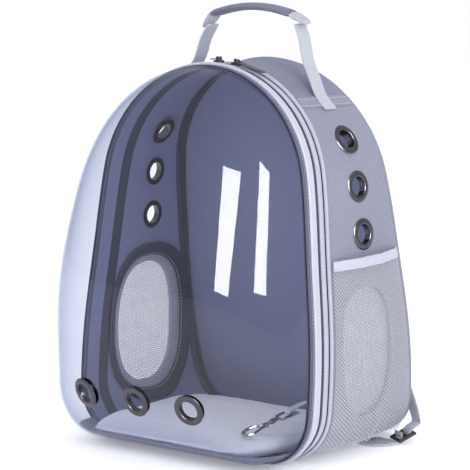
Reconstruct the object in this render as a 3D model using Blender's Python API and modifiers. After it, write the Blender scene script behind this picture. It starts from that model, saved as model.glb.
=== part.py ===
"""Backpack carrier with a clear bubble front, as separate named parts.

Metres, +Z up. The bubble faces -Y and the shoulder straps +Y. Run it with
blender --background --python part.py, or from Blender's text editor.
"""

import math
from collections import namedtuple

import bmesh
import bpy
import numpy as np
from mathutils import Matrix, Vector
from mathutils.bvhtree import BVHTree

# Clearances
GAP = 0.0003
HINGE_PLAY = 0.0006

# Body outline, front (at the bubble's rim) and back
FRONT_HALF_WIDTH = 0.1630
FRONT_HEIGHT = 0.4200
FRONT_WIDEST_AT = 0.0900
FRONT_TOP_RADIUS = 0.1440
FRONT_FOOT_RADIUS = 0.0560
BACK_HALF_WIDTH = 0.1595
BACK_HEIGHT = 0.4250
BACK_WIDEST_AT = 0.1550
BACK_TOP_RADIUS = 0.1480
BACK_FOOT_RADIUS = 0.0540
FRONT_LEAN = 0.0310
DEPTH_AT_FLOOR = 0.2120
DEPTH_AT_TOP = 0.1120
WAIST_DENT = 0.0045
WAIST_AT = 0.2150
WAIST_REACH = 0.0800
SIDE_SWELL = 0.0030
TOP_SAG = 0.0020

# Steps along half of the outline, for each of its arcs
TOP_STEPS = 6
SIDE_STEPS = 6
FOOT_STEPS = 4
SOLE_STEPS = 1

# Front trim, from the bubble's edge backwards
BINDING_WIDTH = 0.0060
BINDING_WALL = 0.0012
FRONT_PIPING_RADIUS = 0.0022
PIPING_STAND = 0.0004
FRONT_TAPE_WIDTH = 0.0098
ZIP_RADIUS = 0.0020
REAR_TAPE_WIDTH = 0.0080
REAR_PIPING_RADIUS = 0.0020
TAPE_THICKNESS = 0.0014
TAPE_SINK = 0.0012
SEAM_BINDING_START = 0.0265
SEAM_BINDING_WIDTH = 0.0100

# Bubble
DOME_DEPTH = 0.0905
DOME_BELLY = 0.0280
DOME_BELLY_AT = 0.1960
DOME_BELLY_REACH = 0.1000
DOME_WALL = 0.0018
DOME_CENTRE_HEIGHT = 0.1360
DOME_DEPTH_POWER = 2.45
DOME_OUTLINE_POWER = 2.60
DOME_RINGS = 7

# Fabric shell and back
GUSSET_WALL = 0.0040
BACK_THICKNESS = 0.0065
BACK_CROWN = 0.0040
BACK_BINDING_WIDTH = 0.0120
BACK_BINDING_THICKNESS = 0.0012

# Ventilation eyelets
EYELET_BORE_RADIUS = 0.0105
EYELET_BARREL = 0.0008
EYELET_FLANGE_RADIUS = 0.0172
EYELET_WASHER_RADIUS = 0.0160
EYELET_CROWN = 0.0016
WASHER_THICKNESS = 0.0009
EYELET_STEPS = 12
SIDE_EYELET_SHARE = 0.4900
DOME_EYELET_SPACING = 0.0726
DOME_EYELET_HEIGHT = 0.0693

# Side windows
WINDOW_CENTRE_FROM_RIM = 0.1020
WINDOW_CENTRE_HEIGHT = 0.1140
APERTURE_WIDTH = 0.0920
APERTURE_HEIGHT = 0.1400
RING_OPENING_WIDTH = 0.1115
RING_OPENING_HEIGHT = 0.1560
RING_BAND = 0.0105
RING_THICKNESS = 0.0015
MESH_MARGIN = 0.0055
MESH_THICKNESS = 0.0008
OVAL_POWER = 2.5
OVAL_STEPS = 22

# Side pockets
POCKET_BOTTOM = 0.0330
POCKET_TOP = 0.2050
POCKET_TOP_RISE = 0.0040
POCKET_MARGIN = 0.0035
POCKET_SEAT = 0.0012
POCKET_ROOM = 0.0100
POCKET_FOLD = 0.0030
POCKET_FOLDS = 4
NET_THICKNESS = 0.0010
HEM_HEIGHT = 0.0110
HEM_THICKNESS = 0.0020

# Floor
BOARD_HALF_WIDTH = 0.1040
BOARD_LENGTH = 0.1900
BOARD_CORNER = 0.0240
BOARD_THICKNESS = 0.0025
BOARD_FRONT = 0.0120
MAT_HALF_WIDTH = 0.1300
MAT_LENGTH = 0.2240
MAT_FRONT = -0.0520
MAT_THICKNESS = 0.0200
MAT_LIP = 0.0016
MAT_CLEARANCE = 0.0006

# Carry handle
HANDLE_FROM_RIM = 0.0760
HANDLE_FOOT = 0.1000
HANDLE_FOOT_LENGTH = 0.0130
HANDLE_RISE = 0.0610
HANDLE_SHIFT = 0.0075
HANDLE_WEBBING_WIDTH = 0.0200
HANDLE_WEBBING_THICKNESS = 0.0020
GRIP_HALF_LENGTH = 0.0545
GRIP_DROOP = 0.0085
GRIP_WIDTH = 0.0260
GRIP_THICKNESS = 0.0090
CUFF_LENGTH = 0.0210

# Zip pulls
SLIDER_LENGTH = 0.0100
SLIDER_WIDTH = 0.0076
SLIDER_HEIGHT = 0.0060
BRIDGE_LENGTH = 0.0062
BRIDGE_WIDTH = 0.0030
BRIDGE_ROOF = 0.0010
TUNNEL = 0.0028
LEFT_SLIDER_AT = 0.0010
RIGHT_SLIDER_AT = 0.0250
PULL_LENGTH = 0.0390
PULL_WIDTH = 0.0086
PULL_THICKNESS = 0.0014
PULL_LIE = 6.5
PULL_EYE_RADIUS = 0.0016
PULL_RING_RADIUS = 0.0052
PULL_RING_WIRE = 0.0007
PULL_RING_LIE = -4.0

# Tether and snap hook
TETHER_WIDTH = 0.0100
TETHER_THICKNESS = 0.0014
HOOK_WIRE = 0.0019
EYE_WIRE = 0.0015
HOOK_EYE_RADIUS = 0.0075
HOOK_LOOP_RADIUS = 0.0095
HOOK_LOOP_STRETCH = 1.25
HOOK_NECK = 0.0180
GATE_RADIUS = 0.0013
HOOK_PLACE = (0.1006, 0.0276, 0.0447)
HOOK_HEADING = -110.0
HOOK_DIP = 17.0
TETHER_ROOT = 0.0465
TETHER_ROOT_HEIGHT = 0.0590
TETHER_ROOT_LENGTH = 0.0100

# Shoulder straps
STRAP_WIDTH = 0.0560
STRAP_THICKNESS = 0.0110
STRAP_TOP_OUT = 0.0480
STRAP_FOOT_OUT = 0.1180
STRAP_TOP_HEIGHT = 0.3850
STRAP_FOOT_HEIGHT = 0.0920
STRAP_BOW = 0.0240
STRAP_SEAT = 0.0006
WEBBING_WIDTH = 0.0180
WEBBING_THICKNESS = 0.0015
WEBBING_STAND = 0.0020
WEBBING_CORNER = (0.1585, 0.2110, 0.0175)
LOCK_WIDTH = 0.0260
LOCK_LENGTH = 0.0220
LOCK_THICKNESS = 0.0034
LOCK_BAR = 0.0032
LOCK_PLACE = (0.1550, 0.1890, 0.0070)
LOCK_PITCH = 24.0
LOCK_TURN = 30.0
TAB_INNER = 0.1235
TAB_FRONT = 0.1440
TAB_WIDTH = 0.0370
TAB_THICKNESS = 0.0024

Arch = namedtuple("Arch", "half_width height widest_at top_radius foot_radius foot_z")
Section = namedtuple("Section", "share swell")
MatRow = namedtuple("MatRow", "length top width")
StrapRow = namedtuple("StrapRow", "drop bow out width thickness")
HandleEnd = namedtuple("HandleEnd", "side name slope leg")
LegRow = namedtuple("LegRow", "across drop")
Corner = namedtuple("Corner", "out back")
Finish = namedtuple("Finish", "colour roughness metallic alpha")

# Share of the gusset's depth, and share of the side swell there
GUSSET_SECTIONS = (
    Section(0.00, 0.00),
    Section(0.30, 0.80),
    Section(0.62, 1.00),
    Section(1.00, 0.00),
)

# Shares of the mat's length, of its thickness above its seat, and of its half width
MAT_ROWS = (
    MatRow(0.000, 0.58, 0.72),
    MatRow(0.035, 0.70, 0.80),
    MatRow(0.120, 0.84, 0.89),
    MatRow(0.250, 1.00, 0.97),
    MatRow(0.500, 0.93, 1.00),
    MatRow(0.780, 1.00, 0.99),
    MatRow(0.950, 0.82, 0.95),
    MatRow(1.000, 0.42, 0.88),
)

# Shares of the mat section's half width and of its height, right half from below
MAT_SECTION = ((0.90, 0.00), (0.975, 0.25), (1.00, 0.62), (0.95, 0.90), (0.50, 1.00))

# Slope of each cuff in degrees, and how far beyond the grip its leg starts in metres
HANDLE_ENDS = (
    HandleEnd(-1, "left", 50.0, 0.0035),
    HandleEnd(1, "right", 25.0, 0.0085),
)

# Shares of a handle leg's way out from the grip and of its drop to the shell
HANDLE_LEG_ROWS = (
    LegRow(0.00, 0.00),
    LegRow(0.22, 0.21),
    LegRow(0.39, 0.51),
    LegRow(0.69, 0.74),
    LegRow(1.00, 1.00),
)

# Shares of the strap tab's width outwards and of its length backwards
TAB_CORNERS = (
    Corner(0.00, 0.05),
    Corner(0.12, 0.00),
    Corner(0.60, 0.08),
    Corner(0.91, 0.37),
    Corner(1.00, 1.00),
    Corner(0.60, 1.00),
    Corner(0.00, 0.78),
)

# Shares of the shoulder strap's drop, bow, way out, width and thickness
STRAP_ROWS = (
    StrapRow(0.00, 0.00, 0.00, 0.80, 0.45),
    StrapRow(0.06, 0.18, 0.02, 0.92, 0.85),
    StrapRow(0.20, 0.58, 0.10, 1.00, 1.00),
    StrapRow(0.40, 0.94, 0.30, 1.00, 1.00),
    StrapRow(0.62, 1.00, 0.58, 1.00, 1.00),
    StrapRow(0.82, 0.80, 0.83, 0.92, 1.00),
    StrapRow(0.96, 0.52, 0.97, 0.66, 0.90),
    StrapRow(1.00, 0.44, 1.00, 0.52, 0.50),
)

# Places of the lower webbing behind the back panel: metres out from the middle, and up
LOWER_WEBBING_ROWS = ((0.1340, 0.0700), (0.1440, 0.0460), (0.1510, 0.0290))

# Way of the webbing through the ladder lock: shares of a slot's place and of its clearance
LOCK_PATH = (
    (2.9, 1.70),
    (2.0, 1.35),
    (1.2, 0.75),
    (1.0, 0.00),
    (0.7, -0.80),
    (0.0, -1.05),
    (-0.7, -0.80),
    (-1.0, 0.00),
    (-1.0, 1.20),
    (-0.6, 2.40),
)

# Heights of the side eyelets above the floor, top to bottom
SIDE_EYELET_HEIGHTS = (0.3410, 0.2910, 0.2400)

FINISHES = {
    "clear_plastic": Finish((0.90, 0.94, 0.96), 0.05, 0.0, 0.25),
    "navy_binding": Finish((0.030, 0.034, 0.060), 0.75, 0.0, 1.0),
    "white_trim": Finish((0.80, 0.80, 0.80), 0.65, 0.0, 1.0),
    "mauve_tape": Finish((0.30, 0.29, 0.36), 0.80, 0.0, 1.0),
    "grey_tape": Finish((0.38, 0.38, 0.44), 0.80, 0.0, 1.0),
    "dark_zip": Finish((0.050, 0.050, 0.070), 0.55, 0.0, 1.0),
    "grey_fabric": Finish((0.33, 0.34, 0.41), 0.85, 0.0, 1.0),
    "pocket_net": Finish((0.24, 0.25, 0.30), 0.80, 0.0, 1.0),
    "window_mesh": Finish((0.72, 0.74, 0.78), 0.70, 0.0, 0.6),
    "gunmetal": Finish((0.16, 0.16, 0.18), 0.30, 1.0, 1.0),
    "board_fabric": Finish((0.28, 0.29, 0.34), 0.85, 0.0, 1.0),
    "white_plush": Finish((0.86, 0.86, 0.86), 0.95, 0.0, 1.0),
    "grey_webbing": Finish((0.28, 0.28, 0.33), 0.80, 0.0, 1.0),
    "pale_cuff": Finish((0.62, 0.62, 0.66), 0.60, 0.0, 1.0),
    "steel": Finish((0.62, 0.62, 0.63), 0.28, 1.0, 1.0),
    "black_plastic": Finish((0.020, 0.020, 0.022), 0.45, 0.0, 1.0),
}


# Scene and object helpers

def clear_scene():
    for item in list(bpy.data.objects):
        bpy.data.objects.remove(item, do_unlink=True)


def new_collection(name):
    group = bpy.data.collections.new(name)
    bpy.context.scene.collection.children.link(group)
    return group


clear_scene()
PARTS = new_collection("bubble_carrier_backpack")
CUTTERS = new_collection("cutters")
ROOT = bpy.data.objects.new("carrier_root", None)
PARTS.objects.link(ROOT)


def finish(name):
    """The material of one finish, made once."""
    material = bpy.data.materials.get(name)
    if material is None:
        look = FINISHES[name]
        material = bpy.data.materials.new(name)
        material.use_nodes = True
        shader = material.node_tree.nodes["Principled BSDF"]
        shader.inputs["Base Color"].default_value = (*look.colour, 1.0)
        shader.inputs["Roughness"].default_value = look.roughness
        shader.inputs["Metallic"].default_value = look.metallic
        shader.inputs["Alpha"].default_value = look.alpha
    return material


def add_object(name, data, look):
    item = bpy.data.objects.new(name, data)
    PARTS.objects.link(item)
    item.parent = ROOT
    data.materials.append(finish(look))
    return item


def as_mesh(name, points, faces):
    mesh = bpy.data.meshes.new(name)
    mesh.from_pydata([tuple(float(v) for v in p) for p in points], [], faces)
    mesh.validate()
    mesh.shade_smooth()
    mesh.set_sharp_from_angle(angle=math.radians(40))
    return mesh


def grid_faces(rows, columns, closed):
    """Quads between rows of points; a closed row joins its last point to its first."""
    faces = []
    for i in range(rows - 1):
        for j in range(columns if closed else columns - 1):
            k = (j + 1) % columns
            faces.append((i * columns + j, i * columns + k, (i + 1) * columns + k, (i + 1) * columns + j))
    return faces


def solidify(item, thickness, offset):
    wall = item.modifiers.new("wall", "SOLIDIFY")
    wall.thickness = thickness
    wall.offset = offset
    wall.use_even_offset = True
    wall.use_quality_normals = True
    return wall


def sheet(name, rows, thickness, look, closed=False, offset=-1.0):
    """An open surface through rows of points, given a wall."""
    columns = len(rows[0])
    points = [p for row in rows for p in row]
    item = add_object(name, as_mesh(name, points, grid_faces(len(rows), columns, closed)), look)
    solidify(item, thickness, offset)
    return item


def loft(name, sections, look):
    """A closed solid through unlike sections, with a flat cap at each end."""
    count = len(sections[0])
    points = [p for section in sections for p in section]
    faces = grid_faces(len(sections), count, True)
    faces.append(tuple(range(count - 1, -1, -1)))
    faces.append(tuple(range((len(sections) - 1) * count, len(sections) * count)))
    mesh = as_mesh(name, points, faces)
    shape = bmesh.new()
    shape.from_mesh(mesh)
    bmesh.ops.recalc_face_normals(shape, faces=shape.faces)
    shape.to_mesh(mesh)
    shape.free()
    return add_object(name, mesh, look)


def tube(name, points, radius, look, resolution=1, cyclic=False):
    """A round cord or wire along a path."""
    curve = bpy.data.curves.new(name, "CURVE")
    curve.dimensions = "3D"
    curve.bevel_depth = radius
    curve.bevel_resolution = resolution
    curve.use_fill_caps = True
    line = curve.splines.new("POLY")
    line.points.add(len(points) - 1)
    for spot, p in zip(line.points, points):
        spot.co = (*(float(v) for v in p), 1.0)
    line.use_cyclic_u = cyclic
    return add_object(name, curve, look)


def curve_to_mesh(item):
    """Turn a curve object into a mesh object with its caps welded."""
    name = item.name
    look = item.data.materials[0].name
    seen = item.evaluated_get(bpy.context.evaluated_depsgraph_get())
    mesh = bpy.data.meshes.new_from_object(seen)
    place = item.matrix_world.copy()
    bpy.data.objects.remove(item, do_unlink=True)
    shape = bmesh.new()
    shape.from_mesh(mesh)
    bmesh.ops.remove_doubles(shape, verts=shape.verts, dist=0.00001)
    shape.to_mesh(mesh)
    shape.free()
    mesh.materials.clear()
    made = add_object(name, mesh, look)
    made.matrix_world = place
    return made


def turned(name, profile, steps, look, place):
    """A closed profile of (radius, height) turned round the local Z axis."""
    points = [(r, 0.0, h) for r, h in profile]
    edges = [(i, (i + 1) % len(points)) for i in range(len(points))]
    mesh = bpy.data.meshes.new(name)
    mesh.from_pydata(points, edges, [])
    item = add_object(name, mesh, look)
    turn = item.modifiers.new("turn", "SCREW")
    turn.angle = math.tau
    turn.steps = steps
    turn.render_steps = steps
    turn.use_merge_vertices = True
    turn.merge_threshold = 0.00001
    turn.use_smooth_shade = True
    item.matrix_world = place
    return item


def box(name, size, look, bevel=0.0, shift=(0.0, 0.0, 0.0)):
    """A box about its origin, or about a point moved from its origin by shift."""
    mesh = bpy.data.meshes.new(name)
    shape = bmesh.new()
    bmesh.ops.create_cube(shape, size=1.0)
    bmesh.ops.scale(shape, vec=Vector(size), verts=shape.verts)
    bmesh.ops.translate(shape, vec=Vector(shift), verts=shape.verts)
    shape.to_mesh(mesh)
    shape.free()
    item = add_object(name, mesh, look)
    if bevel > 0.0:
        edge = item.modifiers.new("edges", "BEVEL")
        edge.width = bevel
        edge.segments = 1
    return item


def make_cutter(item):
    """Take an object out of the parts and keep it as a wire guide."""
    PARTS.objects.unlink(item)
    CUTTERS.objects.link(item)
    item.hide_render = True
    item.display_type = "WIRE"
    return item


def combine(item, tool, how):
    """A Boolean of one object with another; the tool stays as a guide."""
    join = item.modifiers.new(how.lower(), "BOOLEAN")
    join.operation = how
    join.solver = "EXACT"
    join.object = make_cutter(tool)
    return item


def rod(name, radius, length, steps, look="steel"):
    """A straight closed cylinder round the local Z axis."""
    mesh = bpy.data.meshes.new(name)
    shape = bmesh.new()
    bmesh.ops.create_cone(
        shape, cap_ends=True, segments=steps, radius1=radius, radius2=radius, depth=length
    )
    shape.to_mesh(mesh)
    shape.free()
    return add_object(name, mesh, look)


def facing(place, normal, up=Vector((0.0, 0.0, 1.0))):
    """A placement whose local Z is the given normal."""
    z = Vector(normal).normalized()
    x = Vector(up).cross(z)
    if x.length < 1e-6:
        x = Vector((1.0, 0.0, 0.0))
    x.normalize()
    y = z.cross(x)
    frame = Matrix((x, y, z)).transposed().to_4x4()
    frame.translation = Vector(place)
    return frame


def mirrored(points, side):
    return [(side * p[0], p[1], p[2]) for p in points]


# Body surface

BAND_DEPTH = (
    BINDING_WIDTH
    + 2 * FRONT_PIPING_RADIUS
    + FRONT_TAPE_WIDTH
    + 2 * ZIP_RADIUS
    + REAR_TAPE_WIDTH
    + 2 * REAR_PIPING_RADIUS
    + 6 * GAP
)
FOOT_RISE = FRONT_PIPING_RADIUS + PIPING_STAND
SEAM_SEAT = TAPE_SINK + TAPE_THICKNESS + 2 * GAP
TRIM_DEPTH = SEAM_SEAT + BINDING_WALL
FRONT = Arch(
    FRONT_HALF_WIDTH, FRONT_HEIGHT, FRONT_WIDEST_AT, FRONT_TOP_RADIUS, FRONT_FOOT_RADIUS, FOOT_RISE
)
BACK = Arch(
    BACK_HALF_WIDTH, BACK_HEIGHT, BACK_WIDEST_AT, BACK_TOP_RADIUS, BACK_FOOT_RADIUS, 0.0
)


def mix(a, b, share):
    return a + (b - a) * share


def between(first, second, share):
    return Arch(*(mix(a, b, share) for a, b in zip(first, second)))


def arch_half(arch, proud=0.0):
    """Right half of the outline, top centre to bottom centre, as x and z arrays.

    Three arcs meet tangentially: the crown, the long side and the foot. The
    outline moves outwards by proud, parallel to itself.
    """
    wide = arch.half_width
    top = min(arch.top_radius, 0.93 * wide)
    rise = arch.height - top - arch.widest_at
    side = (wide * wide + rise * rise - top * top) / (2.0 * (wide - top))
    side_x = wide - side
    top_end = math.atan2(rise, side - wide)
    foot_z = arch.foot_z + arch.foot_radius
    drop = arch.widest_at - foot_z
    foot_x = side_x + math.sqrt((side - arch.foot_radius) ** 2 - drop * drop)
    foot_start = math.atan2(-drop, foot_x - side_x)
    x = []
    z = []
    for a in np.linspace(math.pi / 2, top_end, TOP_STEPS + 1)[:-1]:
        x.append((top + proud) * math.cos(a))
        z.append(arch.height - top + (top + proud) * math.sin(a))
    for a in np.linspace(top_end, foot_start, SIDE_STEPS + 1)[:-1]:
        x.append(side_x + (side + proud) * math.cos(a))
        z.append(arch.widest_at + (side + proud) * math.sin(a))
    for a in np.linspace(foot_start, -math.pi / 2, FOOT_STEPS + 1):
        x.append(foot_x + (arch.foot_radius + proud) * math.cos(a))
        z.append(foot_z + (arch.foot_radius + proud) * math.sin(a))
    for share in np.linspace(0.0, 1.0, SOLE_STEPS + 1)[1:]:
        x.append(foot_x * (1.0 - share))
        z.append(arch.foot_z - proud)
    x[0] = 0.0
    return np.array(x), np.array(z)


def waist(z):
    """How far the sides are drawn in at a height, as a share of the half width."""
    return WAIST_DENT / FRONT_HALF_WIDTH * np.exp(-(((z - WAIST_AT) / WAIST_REACH) ** 2))


def front_plane(z):
    return FRONT_LEAN * z / FRONT_HEIGHT


def back_plane(z):
    return DEPTH_AT_FLOOR + (DEPTH_AT_TOP + FRONT_LEAN - DEPTH_AT_FLOOR) * z / FRONT_HEIGHT


def swell(share):
    shares = [row.share for row in GUSSET_SECTIONS]
    swells = [row.swell for row in GUSSET_SECTIONS]
    return float(np.interp(share, shares, swells))


def closed_loop(x, y, z):
    """The whole outline from its right half, clockwise as seen from the front."""
    right = list(zip(x, y, z))
    left = [(-p[0], p[1], p[2]) for p in right[-2:0:-1]]
    return right + left


def front_loop(depth, proud=0.0):
    """The rim outline at a depth behind the bubble's edge."""
    x, z = arch_half(FRONT, proud)
    x = x * (1.0 - waist(z))
    return closed_loop(x, front_plane(z) + depth, z)


def body_loop(share, proud=0.0, extra=0.0):
    """The gusset outline at a share of its depth, moved back by extra."""
    x, z = arch_half(between(FRONT, BACK, share), proud)
    x = x * (1.0 - waist(z) + SIDE_SWELL * swell(share) / FRONT_HALF_WIDTH)
    crown = np.clip((z - FRONT_WIDEST_AT) / (FRONT_HEIGHT - FRONT_WIDEST_AT), 0.0, 1.0) ** 6
    z = z - TOP_SAG * swell(share) * crown
    y = mix(front_plane(z) + BAND_DEPTH, back_plane(z), share) + extra
    return closed_loop(x, y, z)


def loop_before_back(offset, proud):
    """The gusset outline at a distance in front of the back, on its last facets."""
    first = np.array(body_loop(GUSSET_SECTIONS[-2].share, proud))
    last = np.array(body_loop(GUSSET_SECTIONS[-1].share, proud))
    share = 1.0 - offset / (last[:, 1] - first[:, 1])
    return [tuple(p) for p in first + (last - first) * share[:, None]]


def wall_point(y, z, proud):
    """A point of the right side wall at a depth and a height, moved out by proud."""
    near = front_plane(z) + BAND_DEPTH
    share = float(np.clip((y - near) / (back_plane(z) - near), 0.0, 1.0))
    xs, zs = arch_half(between(FRONT, BACK, share), proud)
    x = float(np.interp(z, zs[::-1], xs[::-1]))
    x = x * (1.0 - waist(z) + SIDE_SWELL * swell(share) / FRONT_HALF_WIDTH)
    return (x, y, z)


def dome_stand(z, reach):
    """How far the bubble stands off the rim's plane, fullest at its belly."""
    belly = DOME_BELLY * np.exp(-(((z - DOME_BELLY_AT) / DOME_BELLY_REACH) ** 2))
    return (DOME_DEPTH + belly) * reach


def dome_rows():
    """Outlines of the bubble from near its tip to its edge in the binding."""
    sink = -(BINDING_WALL + GAP)
    x, z = arch_half(FRONT, sink)
    x = x * (1.0 - waist(z))
    rim = np.array(closed_loop(x, front_plane(z), z))
    centre = np.array((0.0, 0.0, DOME_CENTRE_HEIGHT))
    rows = []
    for i in range(DOME_RINGS - 1, 0, -1):
        turn = math.pi / 2 * i / DOME_RINGS
        spread = math.cos(turn) ** (2.0 / DOME_OUTLINE_POWER)
        reach = math.sin(turn) ** (2.0 / DOME_DEPTH_POWER)
        row = centre + (rim - centre) * np.array((spread, 1.0, spread))
        lean = front_plane(row[:, 2])
        row[:, 1] = lean - dome_stand(row[:, 2], reach)
        rows.append([tuple(p) for p in row])
    rows.append([tuple(p) for p in rim])
    edge = rim + np.array((0.0, BINDING_WIDTH - BINDING_WALL - 2 * GAP, 0.0))
    rows.append([tuple(p) for p in edge])
    middle = DOME_CENTRE_HEIGHT
    tip = (0.0, front_plane(middle) - dome_stand(middle, 1.0), middle)
    return rows, tip


# Parts of the body

def make_dome():
    rows, tip = dome_rows()
    count = len(rows[0])
    points = [p for row in rows for p in row] + [tip]
    faces = grid_faces(len(rows), count, True)
    faces += [(len(points) - 1, (j + 1) % count, j) for j in range(count)]
    item = add_object("dome", as_mesh("dome", points, faces), "clear_plastic")
    solidify(item, DOME_WALL, -1.0)
    return item


def make_binding():
    """A folded tape that grips the bubble's edge, open to the front of its fold."""
    outer = -0.5 * BINDING_WALL
    slot = DOME_WALL + 2 * GAP + BINDING_WALL
    inner = outer - slot
    floor = BINDING_WIDTH - 0.5 * BINDING_WALL
    rows = [
        front_loop(0.0, outer),
        front_loop(floor, outer),
        front_loop(floor, inner),
        front_loop(0.0, inner),
    ]
    return sheet("dome_binding", rows, BINDING_WALL, "navy_binding", closed=True, offset=0.0)


def make_band(name, start, width, look):
    rows = [front_loop(start, -TAPE_SINK), front_loop(start + width, -TAPE_SINK)]
    return sheet(name, rows, TAPE_THICKNESS, look, closed=True)


def make_trim():
    """Piping, zip tapes and the closed zip, one behind the other."""
    depth = BINDING_WIDTH + GAP + FRONT_PIPING_RADIUS
    tube("front_piping", front_loop(depth, PIPING_STAND), FRONT_PIPING_RADIUS, "white_trim", 1, True)
    depth += FRONT_PIPING_RADIUS + GAP
    make_band("front_zip_tape", depth, FRONT_TAPE_WIDTH, "mauve_tape")
    depth += FRONT_TAPE_WIDTH + GAP + ZIP_RADIUS
    zip_line = front_loop(depth, -TAPE_SINK)
    tube("zip_teeth", zip_line, ZIP_RADIUS, "dark_zip", 0, True)
    zip_depth = depth
    depth += ZIP_RADIUS + GAP
    make_band("rear_zip_tape", depth, REAR_TAPE_WIDTH, "grey_tape")
    seam = [
        front_loop(SEAM_BINDING_START, -SEAM_SEAT),
        front_loop(SEAM_BINDING_START + SEAM_BINDING_WIDTH, -SEAM_SEAT),
    ]
    sheet("seam_binding", seam, BINDING_WALL, "navy_binding", closed=True)
    depth += REAR_TAPE_WIDTH + GAP + REAR_PIPING_RADIUS
    line = front_loop(depth, PIPING_STAND)
    tube("rear_piping", line, REAR_PIPING_RADIUS, "grey_tape", 1, True)
    return zip_depth


def oval(count, width, height):
    """Points of a squarish oval about its centre."""
    points = []
    for i in range(count):
        a = math.tau * i / count
        c = math.cos(a)
        s = math.sin(a)
        across = math.copysign(abs(c) ** (2.0 / OVAL_POWER), c) * 0.5 * width
        up = math.copysign(abs(s) ** (2.0 / OVAL_POWER), s) * 0.5 * height
        points.append((across, up))
    return points


def window_centre_y(z):
    return front_plane(z) + WINDOW_CENTRE_FROM_RIM


def window_row(width, height, proud, side):
    centre_y = window_centre_y(WINDOW_CENTRE_HEIGHT)
    row = []
    for across, up in oval(OVAL_STEPS, width, height):
        row.append(wall_point(centre_y + across, WINDOW_CENTRE_HEIGHT + up, proud))
    return mirrored(row, side)


def make_gusset():
    rows = [body_loop(row.share, 0.0, 0.0 if row.share > 0.0 else GAP) for row in GUSSET_SECTIONS]
    item = sheet("gusset", rows, GUSSET_WALL, "grey_fabric", closed=True)
    centre_y = window_centre_y(WINDOW_CENTRE_HEIGHT)
    ring = oval(OVAL_STEPS, APERTURE_WIDTH, APERTURE_HEIGHT)
    for side, name in ((-1, "left"), (1, "right")):
        near = 0.5 * FRONT_HALF_WIDTH
        far = 1.2 * FRONT_HALF_WIDTH
        sections = [
            [(side * x, centre_y + across, WINDOW_CENTRE_HEIGHT + up) for across, up in ring]
            for x in (near, far)
        ]
        combine(item, loft("aperture_" + name, sections, "grey_fabric"), "DIFFERENCE")
    return item


def make_back_panel():
    """A padded panel, crowned backwards, that closes the shell."""
    seat = 3 * GAP
    edge = np.array(body_loop(1.0, -GUSSET_WALL * 0.25))
    centre = np.array((0.0, 0.0, 0.5 * BACK_HEIGHT))
    rows = []
    for scale, crown in ((1.0, 0.0), (0.88, 0.60), (0.55, 1.0)):
        row = centre + (edge - centre) * np.array((scale, 1.0, scale))
        row[:, 1] = back_plane(row[:, 2]) + seat + BACK_CROWN * crown
        rows.append([tuple(p) for p in row])
    count = len(edge)
    tip = (0.0, back_plane(centre[2]) + seat + BACK_CROWN, centre[2])
    points = [p for row in rows for p in row] + [tip]
    faces = grid_faces(len(rows), count, True)
    last = (len(rows) - 1) * count
    faces += [(last + j, last + (j + 1) % count, len(points) - 1) for j in range(count)]
    item = add_object("back_panel", as_mesh("back_panel", points, faces), "grey_fabric")
    solidify(item, BACK_THICKNESS, 1.0)
    return item


def make_back_binding():
    """Dark tape over the inner seam between the shell and the back."""
    proud = -(GUSSET_WALL + 2 * GAP)
    rows = [loop_before_back(BACK_BINDING_WIDTH, proud), loop_before_back(GAP, proud)]
    return sheet("back_binding", rows, BACK_BINDING_THICKNESS, "navy_binding", closed=True)


def make_windows():
    for side, name in ((-1, "left"), (1, "right")):
        offset = -1.0 if side > 0 else 1.0
        mesh_proud = -(GUSSET_WALL + 3 * GAP)
        wide = RING_OPENING_WIDTH + 2 * MESH_MARGIN
        tall = RING_OPENING_HEIGHT + 2 * MESH_MARGIN
        rows = [window_row(wide * s, tall * s, mesh_proud, side) for s in (1.0, 0.84, 0.5)]
        centre = wall_point(window_centre_y(WINDOW_CENTRE_HEIGHT), WINDOW_CENTRE_HEIGHT, mesh_proud)
        points = [p for row in rows for p in row] + mirrored([centre], side)
        faces = grid_faces(len(rows), OVAL_STEPS, True)
        last = (len(rows) - 1) * OVAL_STEPS
        faces += [(last + j, last + (j + 1) % OVAL_STEPS, len(points) - 1) for j in range(OVAL_STEPS)]
        mesh = as_mesh("window_mesh_" + name, points, faces)
        item = add_object("window_mesh_" + name, mesh, "window_mesh")
        solidify(item, MESH_THICKNESS, offset)
        ring_proud = mesh_proud - MESH_THICKNESS - 7 * GAP
        rows = []
        for band in (1.0, 0.0):
            wide = RING_OPENING_WIDTH + 2 * RING_BAND * band
            tall = RING_OPENING_HEIGHT + 2 * RING_BAND * band
            rows.append(window_row(wide, tall, ring_proud, side))
        sheet("window_ring_" + name, rows, RING_THICKNESS, "navy_binding", closed=True, offset=offset)


def pocket_proud(across, up):
    """How far the net stands off the side wall, at shares across and up the pocket."""
    belly = math.sin(math.pi * across) ** 0.7
    height = 0.35 + 0.65 * math.sin(math.pi * min(1.0, 0.12 + 0.66 * up))
    fold = 0.5 * (1.0 - math.cos(math.tau * POCKET_FOLDS * across))
    low = max(0.0, 1.0 - up / 0.45) ** 1.5
    return POCKET_ROOM * belly * height + POCKET_FOLD * fold * low


def pocket_point(across, z, up, lift):
    """A point of the pocket; lift is its least distance from the wall."""
    near = front_plane(z) + BAND_DEPTH + POCKET_MARGIN
    far = back_plane(z) - POCKET_MARGIN
    return wall_point(mix(near, far, across), z, lift + pocket_proud(across, up))


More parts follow.
